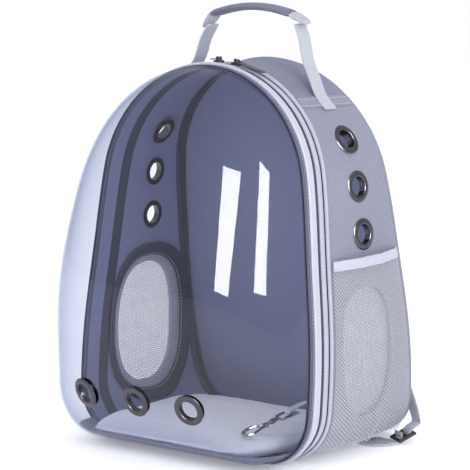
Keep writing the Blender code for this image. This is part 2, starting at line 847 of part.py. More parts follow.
def make_pockets():
    columns = 4 * POCKET_FOLDS
    for side, name in ((-1, "left"), (1, "right")):
        offset = -1.0 if side > 0 else 1.0
        rows = []
        for up in (0.0, 0.08, 0.18, 0.34, 0.64, 1.0):
            row = []
            for j in range(columns + 1):
                across = j / columns
                top = POCKET_TOP + POCKET_TOP_RISE * across
                z = mix(POCKET_BOTTOM, top, up)
                row.append(pocket_point(across, z, up, NET_THICKNESS + POCKET_SEAT))
            rows.append(mirrored(row, side))
        sheet("pocket_net_" + name, rows, NET_THICKNESS, "pocket_net", offset=offset)
        rows = []
        for up in (0.0, 1.0):
            row = []
            for j in range(columns // 2 + 1):
                across = 2 * j / columns
                z = POCKET_TOP + POCKET_TOP_RISE * across + GAP + HEM_HEIGHT * up
                row.append(pocket_point(across, z, 1.0, HEM_THICKNESS + POCKET_SEAT))
            rows.append(mirrored(row, side))
        sheet("pocket_hem_" + name, rows, HEM_THICKNESS, "white_trim", offset=offset)


# Eyelets

def seat_on(tree, aim, direction):
    """Where a ray from outside meets a wall, with the wall's outward normal."""
    start = Vector(aim) - Vector(direction) * 0.5
    spot, normal, _, _ = tree.ray_cast(start, Vector(direction))
    return spot, normal


def wall_reach(tree, frame, radius):
    """Highest and lowest point of a wall round an eyelet, along the eyelet's axis."""
    axis = frame.to_3x3() @ Vector((0.0, 0.0, 1.0))
    highs = []
    lows = []
    for ring in (0.72 * radius, radius):
        for i in range(12):
            a = math.tau * i / 12
            foot = frame @ Vector((ring * math.cos(a), ring * math.sin(a), 0.0))
            above, _, _, _ = tree.ray_cast(foot + axis * 0.012, -axis)
            below, _, _, _ = tree.ray_cast(foot - axis * 0.020, axis)
            highs.append((above - foot).dot(axis))
            lows.append((below - foot).dot(axis))
    return max(highs), min(lows)


def make_eyelet(name, wall, tree, aim, direction):
    """A hole through a wall and the flanged metal ring that lines it."""
    spot, normal = seat_on(tree, aim, direction)
    frame = facing(spot, normal)
    high, low = wall_reach(tree, frame, EYELET_FLANGE_RADIUS)
    high = high + GAP
    low = low - GAP
    bore = EYELET_BORE_RADIUS
    barrel = bore + EYELET_BARREL
    profile = [
        (bore, high + 0.7 * EYELET_CROWN),
        (0.5 * (bore + EYELET_FLANGE_RADIUS), high + EYELET_CROWN),
        (EYELET_FLANGE_RADIUS, high + 0.1 * EYELET_CROWN),
        (barrel, high),
        (barrel, low),
        (EYELET_WASHER_RADIUS, low),
        (EYELET_WASHER_RADIUS, low - WASHER_THICKNESS),
        (bore, low - WASHER_THICKNESS),
    ]
    turned(name, profile, EYELET_STEPS, "gunmetal", frame)
    hole = rod(name + "_hole", (barrel + GAP) / math.cos(math.pi / EYELET_STEPS), 0.03, EYELET_STEPS)
    hole.matrix_world = frame
    combine(wall, hole, "DIFFERENCE")


def wall_tree(item):
    bpy.context.view_layer.update()
    return BVHTree.FromObject(item, bpy.context.evaluated_depsgraph_get())


def make_eyelets(dome, gusset):
    tree = wall_tree(dome)
    for i, side in enumerate((-1, 0, 1)):
        aim = (side * DOME_EYELET_SPACING, 0.0, DOME_EYELET_HEIGHT)
        make_eyelet("dome_eyelet_%d" % (i + 1), dome, tree, aim, (0.0, 1.0, 0.0))
    tree = wall_tree(gusset)
    for side, name in ((-1, "left"), (1, "right")):
        for i, z in enumerate(SIDE_EYELET_HEIGHTS):
            near = front_plane(z) + BAND_DEPTH
            y = mix(near, back_plane(z), SIDE_EYELET_SHARE)
            make_eyelet("%s_eyelet_%d" % (name, i + 1), gusset, tree, (0.0, y, z), (-side, 0.0, 0.0))


# Floor

def make_board():
    """A stiff board on the floor, with rounded corners."""
    curve = bpy.data.curves.new("floor_board", "CURVE")
    curve.dimensions = "2D"
    curve.fill_mode = "BOTH"
    curve.extrude = 0.5 * BOARD_THICKNESS
    points = []
    for quarter in range(4):
        sx = (1, -1, -1, 1)[quarter]
        sy = (1, 1, -1, -1)[quarter]
        for step in range(4):
            a = math.pi / 2 * (quarter + step / 3)
            x = sx * (BOARD_HALF_WIDTH - BOARD_CORNER) + BOARD_CORNER * math.cos(a)
            y = sy * (0.5 * BOARD_LENGTH - BOARD_CORNER) + BOARD_CORNER * math.sin(a)
            points.append((x, y))
    line = curve.splines.new("POLY")
    line.points.add(len(points) - 1)
    for spot, p in zip(line.points, points):
        spot.co = (p[0], p[1], 0.0, 1.0)
    line.use_cyclic_u = True
    item = add_object("floor_board", curve, "board_fabric")
    item.location = (0.0, BOARD_FRONT + 0.5 * BOARD_LENGTH, board_base() + 0.5 * BOARD_THICKNESS)
    return item


def board_base():
    return FOOT_RISE + max(GUSSET_WALL, TRIM_DEPTH) + GAP


def mat_base():
    return board_base() + BOARD_THICKNESS + GAP


def make_mat(tree):
    """A thick plush pad whose front lip rides up on the bubble."""
    right = [(x, z) for x, z in MAT_SECTION]
    outline = right + [(-x, z) for x, z in reversed(right)]
    sections = []
    for row in MAT_ROWS:
        y = MAT_FRONT + MAT_LENGTH * row.length
        wide = MAT_HALF_WIDTH * row.width
        top = mat_base() + MAT_THICKNESS * row.top
        section = []
        for x, z in outline:
            under = max(mat_base(), bowl_height(tree, wide * x, y) + MAT_CLEARANCE)
            over = max(top, under + MAT_LIP)
            section.append((wide * x, y, mix(under, over, z)))
        sections.append(section)
    return loft("mat", sections, "white_plush")


def bowl_height(tree, x, y):
    """Height of the bubble's inner face under a place, or 0 behind the bubble."""
    if y > 0.0:
        return 0.0
    spot, _, _, _ = tree.ray_cast(Vector((x, y, DOME_EYELET_HEIGHT)), Vector((0.0, 0.0, -1.0)))
    return spot.z if spot is not None else 0.0


def mat_top():
    return mat_base() + MAT_THICKNESS


# Carry handle

def handle_y():
    return front_plane(FRONT_HEIGHT) + HANDLE_FROM_RIM


def crown_height(x, proud):
    """Height of the shell's top over a place across it, in the handle's plane."""
    share = (HANDLE_FROM_RIM - BAND_DEPTH) / (DEPTH_AT_TOP - BAND_DEPTH)
    loop = body_loop(share, proud)
    half = loop[: len(loop) // 2 + 1]
    xs = [p[0] for p in half if p[2] > FRONT_WIDEST_AT]
    zs = [p[2] for p in half if p[2] > FRONT_WIDEST_AT]
    return float(np.interp(x, xs, zs))


def ribbon(name, path, across, width, thickness, look):
    """A flat strap along a path, as wide as given across it."""
    half = Vector(across).normalized() * 0.5 * width
    rows = []
    for p in path:
        rows.append([tuple(Vector(p) - half), tuple(Vector(p) + half)])
    return sheet(name, rows, thickness, look, offset=0.0)


def smooth_path(points, count):
    """Points at even shares along a smooth curve through a few points."""
    knots = np.array(points, dtype=float)
    steps = np.r_[0.0, np.cumsum(np.linalg.norm(np.diff(knots, axis=0), axis=1))]
    slopes = np.gradient(knots, steps, axis=0)
    path = []
    for s in np.linspace(0.0, steps[-1], count):
        i = int(np.clip(np.searchsorted(steps, s) - 1, 0, len(steps) - 2))
        h = steps[i + 1] - steps[i]
        t = (s - steps[i]) / h
        a = knots[i] * (2 * t**3 - 3 * t**2 + 1) + knots[i + 1] * (3 * t**2 - 2 * t**3)
        b = slopes[i] * h * (t**3 - 2 * t**2 + t) + slopes[i + 1] * h * (t**3 - t**2)
        path.append(tuple(a + b))
    return path


def grip_ring(centre, heading, scale):
    """A flattened section of the grip across its heading."""
    side = Vector((0.0, 1.0, 0.0))
    up = side.cross(Vector(heading).normalized())
    ring = []
    for i in range(10):
        a = math.tau * i / 10
        across = side * (0.5 * GRIP_WIDTH * math.cos(a) * scale)
        ring.append(tuple(Vector(centre) + across + up * (0.5 * GRIP_THICKNESS * math.sin(a) * scale)))
    return ring


def make_handle():
    """A padded grip between two stiff cuffs, on webbing legs sewn to the shell."""
    y = handle_y()
    top = crown_height(0.0, 0.0) + HANDLE_RISE
    slope = 2.0 * GRIP_DROOP / GRIP_HALF_LENGTH
    sections = []
    for i in range(7):
        share = i / 3 - 1.0
        centre = (HANDLE_SHIFT + GRIP_HALF_LENGTH * share, y, top - GRIP_DROOP * share * share)
        sections.append(grip_ring(centre, (1.0, 0.0, -slope * share), 1.0))
    loft("handle_grip", sections, "grey_webbing")
    for end in HANDLE_ENDS:
        make_cuff(end, y, top, slope)
        make_leg(end, y, top)


def make_cuff(handle_end, y, top, slope):
    """A stiff end piece that slopes away from the grip."""
    side, name, cuff_slope, _ = handle_end
    heading = Vector((side, 0.0, -slope)).normalized()
    bent = Vector((side * math.cos(math.radians(cuff_slope)), 0.0, -math.sin(math.radians(cuff_slope))))
    grip_end = Vector((HANDLE_SHIFT + side * GRIP_HALF_LENGTH, y, top - GRIP_DROOP))
    start = grip_end + heading * (2.0 * GAP)
    end = start + bent * CUFF_LENGTH
    sections = [
        grip_ring(start, heading, 0.94),
        grip_ring(mix(start, end, 0.4), bent, 0.92),
        grip_ring(end, bent, 0.62),
    ]
    loft("handle_cuff_" + name, sections, "pale_cuff")


def make_leg(handle_end, y, top):
    """Webbing from under the cuff down to the shell, sewn flat along it."""
    side, name, cuff_slope, beyond = handle_end
    lift = 0.5 * HANDLE_WEBBING_THICKNESS + 4 * GAP
    start_x = HANDLE_SHIFT + side * (GRIP_HALF_LENGTH + beyond)
    tilt = math.radians(cuff_slope)
    under = beyond * math.tan(tilt) + 0.5 * GRIP_THICKNESS / math.cos(tilt)
    start_z = top - GRIP_DROOP - under - 0.5 * HANDLE_WEBBING_THICKNESS
    foot_z = crown_height(HANDLE_FOOT, lift)
    leg = []
    for row in HANDLE_LEG_ROWS:
        x = mix(start_x, side * HANDLE_FOOT, row.across)
        leg.append((x, y, mix(start_z, foot_z, row.drop)))
    foot_end = HANDLE_FOOT + HANDLE_FOOT_LENGTH
    leg.append((side * foot_end, y, crown_height(foot_end, lift)))
    path = []
    for p in smooth_path(leg, 12):
        path.append((p[0], p[1], max(p[2], crown_height(abs(p[0]), lift))))
    across = (0.0, 1.0, 0.0)
    ribbon(
        "handle_strap_" + name, path, across, HANDLE_WEBBING_WIDTH, HANDLE_WEBBING_THICKNESS, "grey_webbing"
    )


# Zip sliders and pulls

def zip_frame(x, depth, proud):
    """A placement on the top of the zip: local X along it, local Z outwards."""
    top = min(FRONT_TOP_RADIUS, 0.93 * FRONT_HALF_WIDTH)
    a = math.asin(x / top)
    centre_z = FRONT_HEIGHT - top
    z = centre_z + (top + proud) * math.cos(a)
    place = Vector(((top + proud) * math.sin(a), front_plane(z) + depth, z))
    along = Vector((math.cos(a), 0.0, -math.sin(a)))
    out = Vector((math.sin(a), 0.0, math.cos(a)))
    across = out.cross(along)
    frame = Matrix((along, across, out)).transposed().to_4x4()
    frame.translation = place
    return frame


def make_slider(name, frame):
    """A slider body with a bridge over a tunnel for its pull."""
    body_height = 0.5 * SLIDER_HEIGHT
    bridge_height = 0.7 * SLIDER_HEIGHT
    item = box(name, (SLIDER_LENGTH, SLIDER_WIDTH, body_height), "gunmetal", 0.0006)
    item.matrix_world = frame @ Matrix.Translation((0.0, 0.0, 0.5 * body_height))
    bridge = box(name + "_bridge", (BRIDGE_LENGTH, BRIDGE_WIDTH, bridge_height), "gunmetal")
    bridge_middle = body_height + TUNNEL + BRIDGE_ROOF - 0.5 * bridge_height
    bridge.matrix_world = frame @ Matrix.Translation((0.0, 0.0, bridge_middle))
    combine(item, bridge, "UNION")
    tunnel = box(name + "_tunnel", (TUNNEL, 2 * SLIDER_WIDTH, TUNNEL), "gunmetal")
    tunnel.matrix_world = pull_axis(frame)
    combine(item, tunnel, "DIFFERENCE")
    return item


def pull_axis(frame):
    return frame @ Matrix.Translation((0.0, 0.0, 0.5 * SLIDER_HEIGHT + 0.5 * TUNNEL))


def make_sliders(zip_depth):
    seat = ZIP_RADIUS - TAPE_SINK + GAP
    left = zip_frame(LEFT_SLIDER_AT, zip_depth, seat)
    right = zip_frame(RIGHT_SLIDER_AT, zip_depth, seat)
    make_slider("zip_slider_left", left)
    make_slider("zip_slider_right", right)

    axis = pull_axis(left)
    points = []
    for i in range(14):
        a = math.tau * i / 14
        x = -PULL_RING_RADIUS + PULL_RING_RADIUS * math.cos(a)
        points.append((x, PULL_RING_RADIUS * math.sin(a), 0.0))
    ring = tube("zip_pull_ring", points, PULL_RING_WIRE, "gunmetal", 1, True)
    ring.matrix_world = axis @ Matrix.Rotation(math.radians(PULL_RING_LIE), 4, "Y")

    shift = 0.5 * PULL_LENGTH - 0.5 * PULL_THICKNESS
    size = (PULL_LENGTH, PULL_WIDTH, PULL_THICKNESS)
    tab = box("zip_pull_tab", size, "dark_zip", 0.0004, (shift, 0.0, 0.0))
    lie = pull_axis(right) @ Matrix.Rotation(math.radians(PULL_LIE), 4, "Y")
    tab.matrix_world = lie
    slot = box("pull_slot", (BRIDGE_LENGTH, BRIDGE_WIDTH + 2 * HINGE_PLAY, 3 * PULL_THICKNESS), "dark_zip")
    slot.matrix_world = lie @ Matrix.Translation((0.5 * PULL_THICKNESS + 0.5 * BRIDGE_LENGTH, 0.0, 0.0))
    combine(tab, slot, "DIFFERENCE")
    eye = rod("pull_eye", PULL_EYE_RADIUS, 3 * PULL_THICKNESS, 10)
    eye.matrix_world = lie @ Matrix.Translation((0.86 * PULL_LENGTH, 0.0, 0.0))
    combine(tab, eye, "DIFFERENCE")


# Tether with its snap hook

def hook_frame():
    """Local X from the hook's eye to its tip, dipping to the mat, and local Z up."""
    turn = Matrix.Rotation(math.radians(HOOK_HEADING), 4, "Z")
    dip = Matrix.Rotation(math.radians(HOOK_DIP), 4, "Y")
    return Matrix.Translation(HOOK_PLACE) @ turn @ dip


def along_x(frame, x):
    """A placement at x in a frame whose local Z lies along the frame's X."""
    return frame @ Matrix.Translation((x, 0.0, 0.0)) @ Matrix.Rotation(math.pi / 2, 4, "Y")


def make_hook():
    frame = hook_frame()
    neck = HOOK_NECK
    loop = HOOK_LOOP_RADIUS
    centre = neck + loop + HOOK_WIRE
    path = [(0.0, 0.0, 0.0), (0.55 * neck, 0.0, 0.0)]
    for i in range(11):
        a = math.radians(-160.0 + 225.0 * i / 10)
        path.append((centre + loop * HOOK_LOOP_STRETCH * math.cos(a), loop * math.sin(a), 0.0))
    wire = tube("hook_body", path, HOOK_WIRE, "steel", 2)
    wire.matrix_world = frame
    body = curve_to_mesh(wire)
    collar = rod("hook_collar", 1.55 * HOOK_WIRE, 0.3 * neck, 12)
    collar.matrix_world = along_x(frame, 0.22 * neck)
    combine(body, collar, "UNION")
    boss_radius = 1.5 * HOOK_WIRE
    boss = rod("hook_boss", boss_radius, 1.9 * HOOK_WIRE, 12)
    pivot = Vector((0.78 * neck, 1.3 * HOOK_WIRE, 0.0))
    boss.matrix_world = frame @ Matrix.Translation(pivot)
    combine(body, boss, "UNION")

    target = Vector(path[-1]) - pivot
    way = target.normalized()
    near = way * (boss_radius + GAP)
    far = target - way * (1.15 * HOOK_WIRE + GAP)
    gate = tube("hook_gate", [near, mix(near, far, 0.5), far], GATE_RADIUS, "steel", 1)
    gate.matrix_world = frame @ Matrix.Translation(pivot)

    points = []
    for i in range(14):
        a = math.tau * i / 14
        along = math.copysign(abs(math.cos(a)) ** 0.4, math.cos(a))
        across = math.copysign(abs(math.sin(a)) ** 0.4, math.sin(a))
        points.append((HOOK_EYE_RADIUS * (along - 1.0) - 2 * HOOK_WIRE, HOOK_EYE_RADIUS * across, 0.0))
    ring = tube("hook_eye", points, EYE_WIRE, "steel", 1, True)
    ring.matrix_world = frame
    eye = curve_to_mesh(ring)
    length = 2 * HOOK_WIRE - GAP
    stub = rod("hook_stub", 1.1 * HOOK_WIRE, length, 10)
    stub.matrix_world = along_x(frame, -GAP - 0.5 * length)
    combine(eye, stub, "UNION")


def make_tether():
    """A narrow strap folded round the hook's eye and sewn to the right wall."""
    frame = hook_frame()
    bar_x = -2 * HOOK_EYE_RADIUS - 2 * HOOK_WIRE
    turn = EYE_WIRE + 2.4 * GAP + 0.5 * TETHER_THICKNESS
    fold = [frame @ Vector((bar_x - 0.010, 0.0, -turn - 0.0002))]
    for i in range(7):
        a = math.radians(-110.0 + 220.0 * i / 6)
        fold.append(frame @ Vector((bar_x + turn * math.cos(a), 0.0, turn * math.sin(a))))
    leave = frame @ Vector((bar_x - 0.012, 0.0, turn + 0.0006))
    seat = -(GUSSET_WALL + 3 * GAP + 0.5 * TETHER_THICKNESS)
    high = Vector(wall_point(TETHER_ROOT, TETHER_ROOT_HEIGHT, seat))
    low = Vector(wall_point(TETHER_ROOT, TETHER_ROOT_HEIGHT - TETHER_ROOT_LENGTH, seat))
    corner = high + Vector((-0.013, 0.002, 0.003))
    bend = mix(leave, corner, 0.45) + Vector((0.0, 0.006, 0.004))
    run = smooth_path([tuple(p) for p in (fold[-1], leave, bend, corner, high, low)], 14)
    path = fold + [Vector(p) for p in run[1:]]
    at_hook = frame.to_3x3() @ Vector((0.0, -1.0, 0.0))
    at_wall = Vector((0.0, 1.0, 0.0))
    rows = []
    for i, p in enumerate(path):
        share = min(max((i - len(fold)) / (0.7 * len(run)), 0.0), 1.0)
        across = mix(at_hook, at_wall, share).normalized() * 0.5 * TETHER_WIDTH
        rows.append([tuple(p - across), tuple(p + across)])
    sheet("tether", rows, TETHER_THICKNESS, "grey_webbing", offset=0.0)


# Shoulder straps

def strap_outline():
    return [
        (-1.00, 0.00), (-0.88, -0.70), (-0.50, -1.00), (0.50, -1.00), (0.88, -0.70),
        (1.00, 0.00), (0.88, 0.70), (0.50, 1.00), (-0.50, 1.00), (-0.88, 0.70),
    ]


def behind(tree, x, z, width):
    """Depth of the back panel's outer face behind a place, over a width."""
    depths = []
    for share in (-0.5, 0.0, 0.5):
        spot, _, _, _ = tree.ray_cast(Vector((x + share * width, 1.0, z)), Vector((0.0, -1.0, 0.0)))
        if spot is not None:
            depths.append(spot.y)
    return max(depths)


def strap_centre(row, side, tree):
    z = mix(STRAP_TOP_HEIGHT, STRAP_FOOT_HEIGHT, row.drop)
    x = side * mix(STRAP_TOP_OUT, STRAP_FOOT_OUT, row.out)
    wall = behind(tree, x, z, 0.8 * STRAP_WIDTH * row.width)
    return Vector((x, wall + STRAP_SEAT + 0.5 * STRAP_THICKNESS * row.thickness + STRAP_BOW * row.bow, z))


def make_strap(side, name, tree):
    centres = [strap_centre(row, side, tree) for row in STRAP_ROWS]
    sections = []
    for i, row in enumerate(STRAP_ROWS):
        along = (centres[min(i + 1, len(centres) - 1)] - centres[max(i - 1, 0)]).normalized()
        wide = Vector((0.0, 1.0, 0.0)).cross(along).normalized()
        out = along.cross(wide).normalized()
        half_w = 0.5 * STRAP_WIDTH * row.width
        half_t = 0.5 * STRAP_THICKNESS * row.thickness
        sections.append([
            tuple(centres[i] + wide * (half_w * u) + out * (half_t * v)) for u, v in strap_outline()
        ])
    loft("shoulder_strap_" + name, sections, "grey_fabric")
    return centres[-1]


def lock_frame(side):
    """Local X across the ladder lock, local Y up its webbing."""
    turn = Matrix.Rotation(math.radians(-side * LOCK_TURN), 4, "Z")
    pitch = Matrix.Rotation(math.radians(LOCK_PITCH), 4, "X")
    return Matrix.Translation((side * LOCK_PLACE[0], LOCK_PLACE[1], LOCK_PLACE[2])) @ turn @ pitch


def make_lower(side, name, tree):
    """Shoulder strap, the webbing below it, its ladder lock and the tab on the floor."""
    foot = make_strap(side, name, tree)
    frame = lock_frame(side)
    lock = box("ladder_lock_" + name, (LOCK_WIDTH, LOCK_LENGTH, LOCK_THICKNESS), "black_plastic", 0.0006)
    lock.matrix_world = frame
    slot_width = LOCK_WIDTH - 2 * LOCK_BAR
    slot_length = 0.5 * (LOCK_LENGTH - 3 * LOCK_BAR)
    slot_at = 0.5 * (slot_length + LOCK_BAR)
    for sign, end in ((-1, "low"), (1, "high")):
        slot = box("slot_%s_%s" % (end, name), (slot_width, slot_length, 3 * LOCK_THICKNESS), "black_plastic")
        slot.matrix_world = frame @ Matrix.Translation((0.0, sign * slot_at, 0.0))
        combine(lock, slot, "DIFFERENCE")

    clear = 0.5 * (LOCK_THICKNESS + WEBBING_THICKNESS) + GAP
    path = [foot - Vector((0.0, 0.0, 0.0040))]
    for out, height in LOWER_WEBBING_ROWS:
        reach = behind(tree, side * out, height, WEBBING_WIDTH)
        path.append(Vector((side * out, reach + 0.5 * WEBBING_THICKNESS + WEBBING_STAND, height)))
    corner = Vector((side * WEBBING_CORNER[0], WEBBING_CORNER[1], WEBBING_CORNER[2]))
    path.append(corner)
    threaded = [frame @ Vector((0.0, along * slot_at, off * clear)) for along, off in LOCK_PATH]
    points = smooth_path([tuple(p) for p in path + threaded[:1]], 8)
    points += smooth_path([tuple(p) for p in threaded], 17)[1:]
    heading = (path[0] - path[2]).normalized()
    upper = Vector((0.0, 1.0, 0.0)).cross(heading).normalized()
    upper = upper * math.copysign(1.0, upper.x)
    across_lock = frame.to_3x3() @ Vector((1.0, 0.0, 0.0))
    rows = []
    for i, p in enumerate(points):
        across = mix(upper, across_lock, min(1.0, i / 7)).normalized() * 0.5 * WEBBING_WIDTH
        rows.append([tuple(Vector(p) - across), tuple(Vector(p) + across)])
    sheet("lower_webbing_" + name, rows, WEBBING_THICKNESS, "grey_webbing", offset=0.0)
    make_tab(side, name)


def make_tab(side, name):
    """A flat tab on the floor, from under the shell to the ladder lock."""
    low_edge = lock_frame(1) @ Vector((-0.5 * LOCK_WIDTH, -0.5 * LOCK_LENGTH, 0.5 * LOCK_THICKNESS))
    far_edge = lock_frame(1) @ Vector((0.5 * LOCK_WIDTH, -0.5 * LOCK_LENGTH, 0.5 * LOCK_THICKNESS))
    slant = (far_edge.y - low_edge.y) / (far_edge.x - low_edge.x)
    curve = bpy.data.curves.new("strap_tab_" + name, "CURVE")
    curve.dimensions = "2D"
    curve.fill_mode = "BOTH"
    curve.extrude = 0.5 * TAB_THICKNESS
    line = curve.splines.new("POLY")
    line.points.add(len(TAB_CORNERS) - 1)
    for spot, corner in zip(line.points, TAB_CORNERS):
        out = TAB_INNER + TAB_WIDTH * corner.out
        length = low_edge.y + slant * (out - low_edge.x) - GAP - TAB_FRONT
        spot.co = (side * out, TAB_FRONT + length * corner.back, 0.0, 1.0)
    line.use_cyclic_u = True
    tab = add_object("strap_tab_" + name, curve, "pale_cuff")
    tab.location = (0.0, 0.0, 0.5 * TAB_THICKNESS)


# Assembly

def place_on_floor():
    """Stand the whole bag on the floor with its box centred on the origin."""
    bpy.context.view_layer.update()
    depsgraph = bpy.context.evaluated_depsgraph_get()
    low = np.full(3, np.inf)
    high = np.full(3, -np.inf)
    for item in PARTS.objects:
        if item.type not in {"MESH", "CURVE"}:
            continue
        seen = item.evaluated_get(depsgraph)
        mesh = seen.to_mesh()
        spots = np.array([tuple(item.matrix_world @ v.co) for v in mesh.vertices])
        low = np.minimum(low, spots.min(axis=0))
        high = np.maximum(high, spots.max(axis=0))
        seen.to_mesh_clear()
    ROOT.location = (-0.5 * (low[0] + high[0]), -0.5 * (low[1] + high[1]), -low[2])


def main():
    dome = make_dome()
    make_binding()
    zip_depth = make_trim()
    gusset = make_gusset()
    make_eyelets(dome, gusset)
    back_panel = make_back_panel()
    make_back_binding()
    make_windows()
    make_pockets()
    make_board()
    make_mat(wall_tree(dome))
    make_handle()
    make_sliders(zip_depth)
    make_hook()
    make_tether()
    panel_tree = wall_tree(back_panel)
    for side, name in ((-1, "left"), (1, "right")):
        make_lower(side, name, panel_tree)
    for item in CUTTERS.objects:
        item.parent = ROOT
    place_on_floor()


main()
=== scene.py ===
# %% [markdown]
# # A bubble pet carrier backpack
# A soft bag with a clear plastic bubble for its front. The measured solids are already there as
# a fixed frame. This lesson dresses them: it builds each visible piece again, finer, in the same
# place, and gives each one a finish made of nodes.

# %% Load the frame
import math
from collections import namedtuple

import bmesh
import bpy
import numpy as np
from mathutils import Matrix, Vector, noise
from mathutils.bvhtree import BVHTree
from mathutils.interpolate import poly_3d_calc


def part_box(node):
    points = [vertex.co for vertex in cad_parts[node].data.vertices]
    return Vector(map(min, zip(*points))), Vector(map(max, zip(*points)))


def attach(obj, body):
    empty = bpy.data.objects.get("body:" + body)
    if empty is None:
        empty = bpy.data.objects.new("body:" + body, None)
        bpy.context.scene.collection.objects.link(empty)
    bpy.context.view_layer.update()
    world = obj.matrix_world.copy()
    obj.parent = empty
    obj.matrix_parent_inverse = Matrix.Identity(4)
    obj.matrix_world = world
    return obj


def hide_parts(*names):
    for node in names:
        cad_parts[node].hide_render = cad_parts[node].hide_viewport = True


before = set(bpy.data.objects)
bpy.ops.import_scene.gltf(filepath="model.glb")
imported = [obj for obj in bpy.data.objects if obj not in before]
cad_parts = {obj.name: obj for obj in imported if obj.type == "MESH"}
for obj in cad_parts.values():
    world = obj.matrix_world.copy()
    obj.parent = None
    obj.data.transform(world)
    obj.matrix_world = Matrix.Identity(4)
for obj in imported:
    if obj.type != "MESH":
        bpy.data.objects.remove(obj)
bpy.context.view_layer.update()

# %% [markdown]
# ## The camera
# The photograph was taken with a long lens, a little above the bag and about 39 degrees round
# to its right. A long lens keeps the bubble from bulging. The camera is built from three
# directions, which is easier to check than a set of angles.

# %% Camera
BOARD_FRONT = 0.012
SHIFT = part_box("floor_board")[0].y - BOARD_FRONT
AZIMUTH = math.radians(39.01)
ELEVATION = math.radians(7.31)
CAMERA_DISTANCE = 2.1914
AIM_HEIGHT = 0.230
AIM_RIGHT = 0.0523
AIM_UP = 0.0080
LENS = 156.0
PHOTO_SIDE = 470

toward = Vector((
    math.sin(AZIMUTH) * math.cos(ELEVATION),
    -math.cos(AZIMUTH) * math.cos(ELEVATION),
    math.sin(ELEVATION),
))
rightward = Vector((math.cos(AZIMUTH), math.sin(AZIMUTH), 0.0))
upward = toward.cross(rightward)
aim = Vector((0.0, SHIFT, AIM_HEIGHT)) + rightward * AIM_RIGHT + upward * AIM_UP
eye = aim + toward * CAMERA_DISTANCE

camera = bpy.data.objects.new("camera", bpy.data.cameras.new("camera"))
bpy.context.scene.collection.objects.link(camera)
camera.data.lens = LENS
camera.matrix_world = Matrix((rightward, upward, toward)).transposed().to_4x4()
camera.matrix_world.translation = eye
bpy.context.scene.camera = camera
print("camera at", [round(v, 3) for v in eye])

# %% [markdown]
# ## The outline of the bag
# Seen from the front, the rim is three arcs that meet smoothly: a round crown, a long side and a
# tight foot. The back panel has nearly the same outline. Everything sewn round the rim follows
# these arcs, so they are written once, as functions, and used by every piece.

# %% Outline functions
Arch = namedtuple("Arch", "half_width height widest_at top_radius foot_radius foot_z")
FRONT = Arch(0.1630, 0.4200, 0.0900, 0.1440, 0.0560, 0.0026)
BACK = Arch(0.1595, 0.4250, 0.1550, 0.1480, 0.0540, 0.0)
FRONT_LEAN = 0.0310
DEPTH_AT_FLOOR = 0.2120
DEPTH_AT_TOP = 0.1120
WAIST_DENT, WAIST_AT, WAIST_REACH = 0.0045, 0.2150, 0.0800
SIDE_SWELL = 0.0030
TOP_SAG = 0.0020
BAND_DEPTH = 0.0380
ARC_STEPS = (24, 30, 16, 8)
SWELL_SHARES = (0.0, 0.15, 0.30, 0.45, 0.62, 0.82, 1.0)
SWELL_SIZES = (0.0, 0.44, 0.80, 0.95, 1.00, 0.58, 0.0)


def mix(a, b, share):
    return a + (b - a) * share


def between(first, second, share):
    return Arch(*(mix(a, b, share) for a, b in zip(first, second)))


def arch_half(arch, proud=0.0):
    """Right half of an outline, top to bottom, moved outwards by proud."""
    wide = arch.half_width
    top = min(arch.top_radius, 0.93 * wide)
    rise = arch.height - top - arch.widest_at
    side = (wide * wide + rise * rise - top * top) / (2.0 * (wide - top))
    side_x = wide - side
    foot_z = arch.foot_z + arch.foot_radius
    drop = arch.widest_at - foot_z
    foot_x = side_x + math.sqrt((side - arch.foot_radius) ** 2 - drop * drop)
    turns = (math.pi / 2, math.atan2(rise, side - wide), math.atan2(-drop, foot_x - side_x), -math.pi / 2)
    arcs = (
        (0.0, arch.height - top, top),
        (side_x, arch.widest_at, side),
        (foot_x, foot_z, arch.foot_radius),
    )
    x, z = [], []
    for k, (cx, cz, radius) in enumerate(arcs):
        for a in np.linspace(turns[k], turns[k + 1], ARC_STEPS[k] + 1)[: None if k == 2 else -1]:
            x.append(cx + (radius + proud) * math.cos(a))
            z.append(cz + (radius + proud) * math.sin(a))
    for share in np.linspace(0.0, 1.0, ARC_STEPS[3] + 1)[1:]:
        x.append(foot_x * (1.0 - share))
        z.append(arch.foot_z - proud)
    x[0] = 0.0
    return np.array(x), np.array(z)


def waist(z):
    return WAIST_DENT / FRONT.half_width * np.exp(-(((z - WAIST_AT) / WAIST_REACH) ** 2))


def front_plane(z):
    return SHIFT + FRONT_LEAN * z / FRONT.height


def back_plane(z):
    return SHIFT + mix(DEPTH_AT_FLOOR, DEPTH_AT_TOP + FRONT_LEAN, z / FRONT.height)


def swell(share):
    return float(np.interp(share, SWELL_SHARES, SWELL_SIZES))


def closed_loop(x, y, z):
    right = np.stack([x, y + 0.0 * x, z], axis=1)
    left = right[-2:0:-1] * np.array((-1.0, 1.0, 1.0))
    return np.concatenate([right, left])


def front_loop(depth, proud=0.0):
    """The rim's outline at a depth behind the bubble's edge."""
    x, z = arch_half(FRONT, proud)
    x = x * (1.0 - waist(z))
    return closed_loop(x, front_plane(z) + depth, z)


def body_loop(share, proud=0.0):
    """The cloth body's outline at a share of its depth."""
    x, z = arch_half(between(FRONT, BACK, share), proud)
    x = x * (1.0 - waist(z) + SIDE_SWELL * swell(share) / FRONT.half_width)
    crown = np.clip((z - FRONT.widest_at) / (FRONT.height - FRONT.widest_at), 0.0, 1.0) ** 6
    z = z - TOP_SAG * swell(share) * crown
    y = mix(front_plane(z) + BAND_DEPTH, back_plane(z), share)
    return closed_loop(x, y, z)


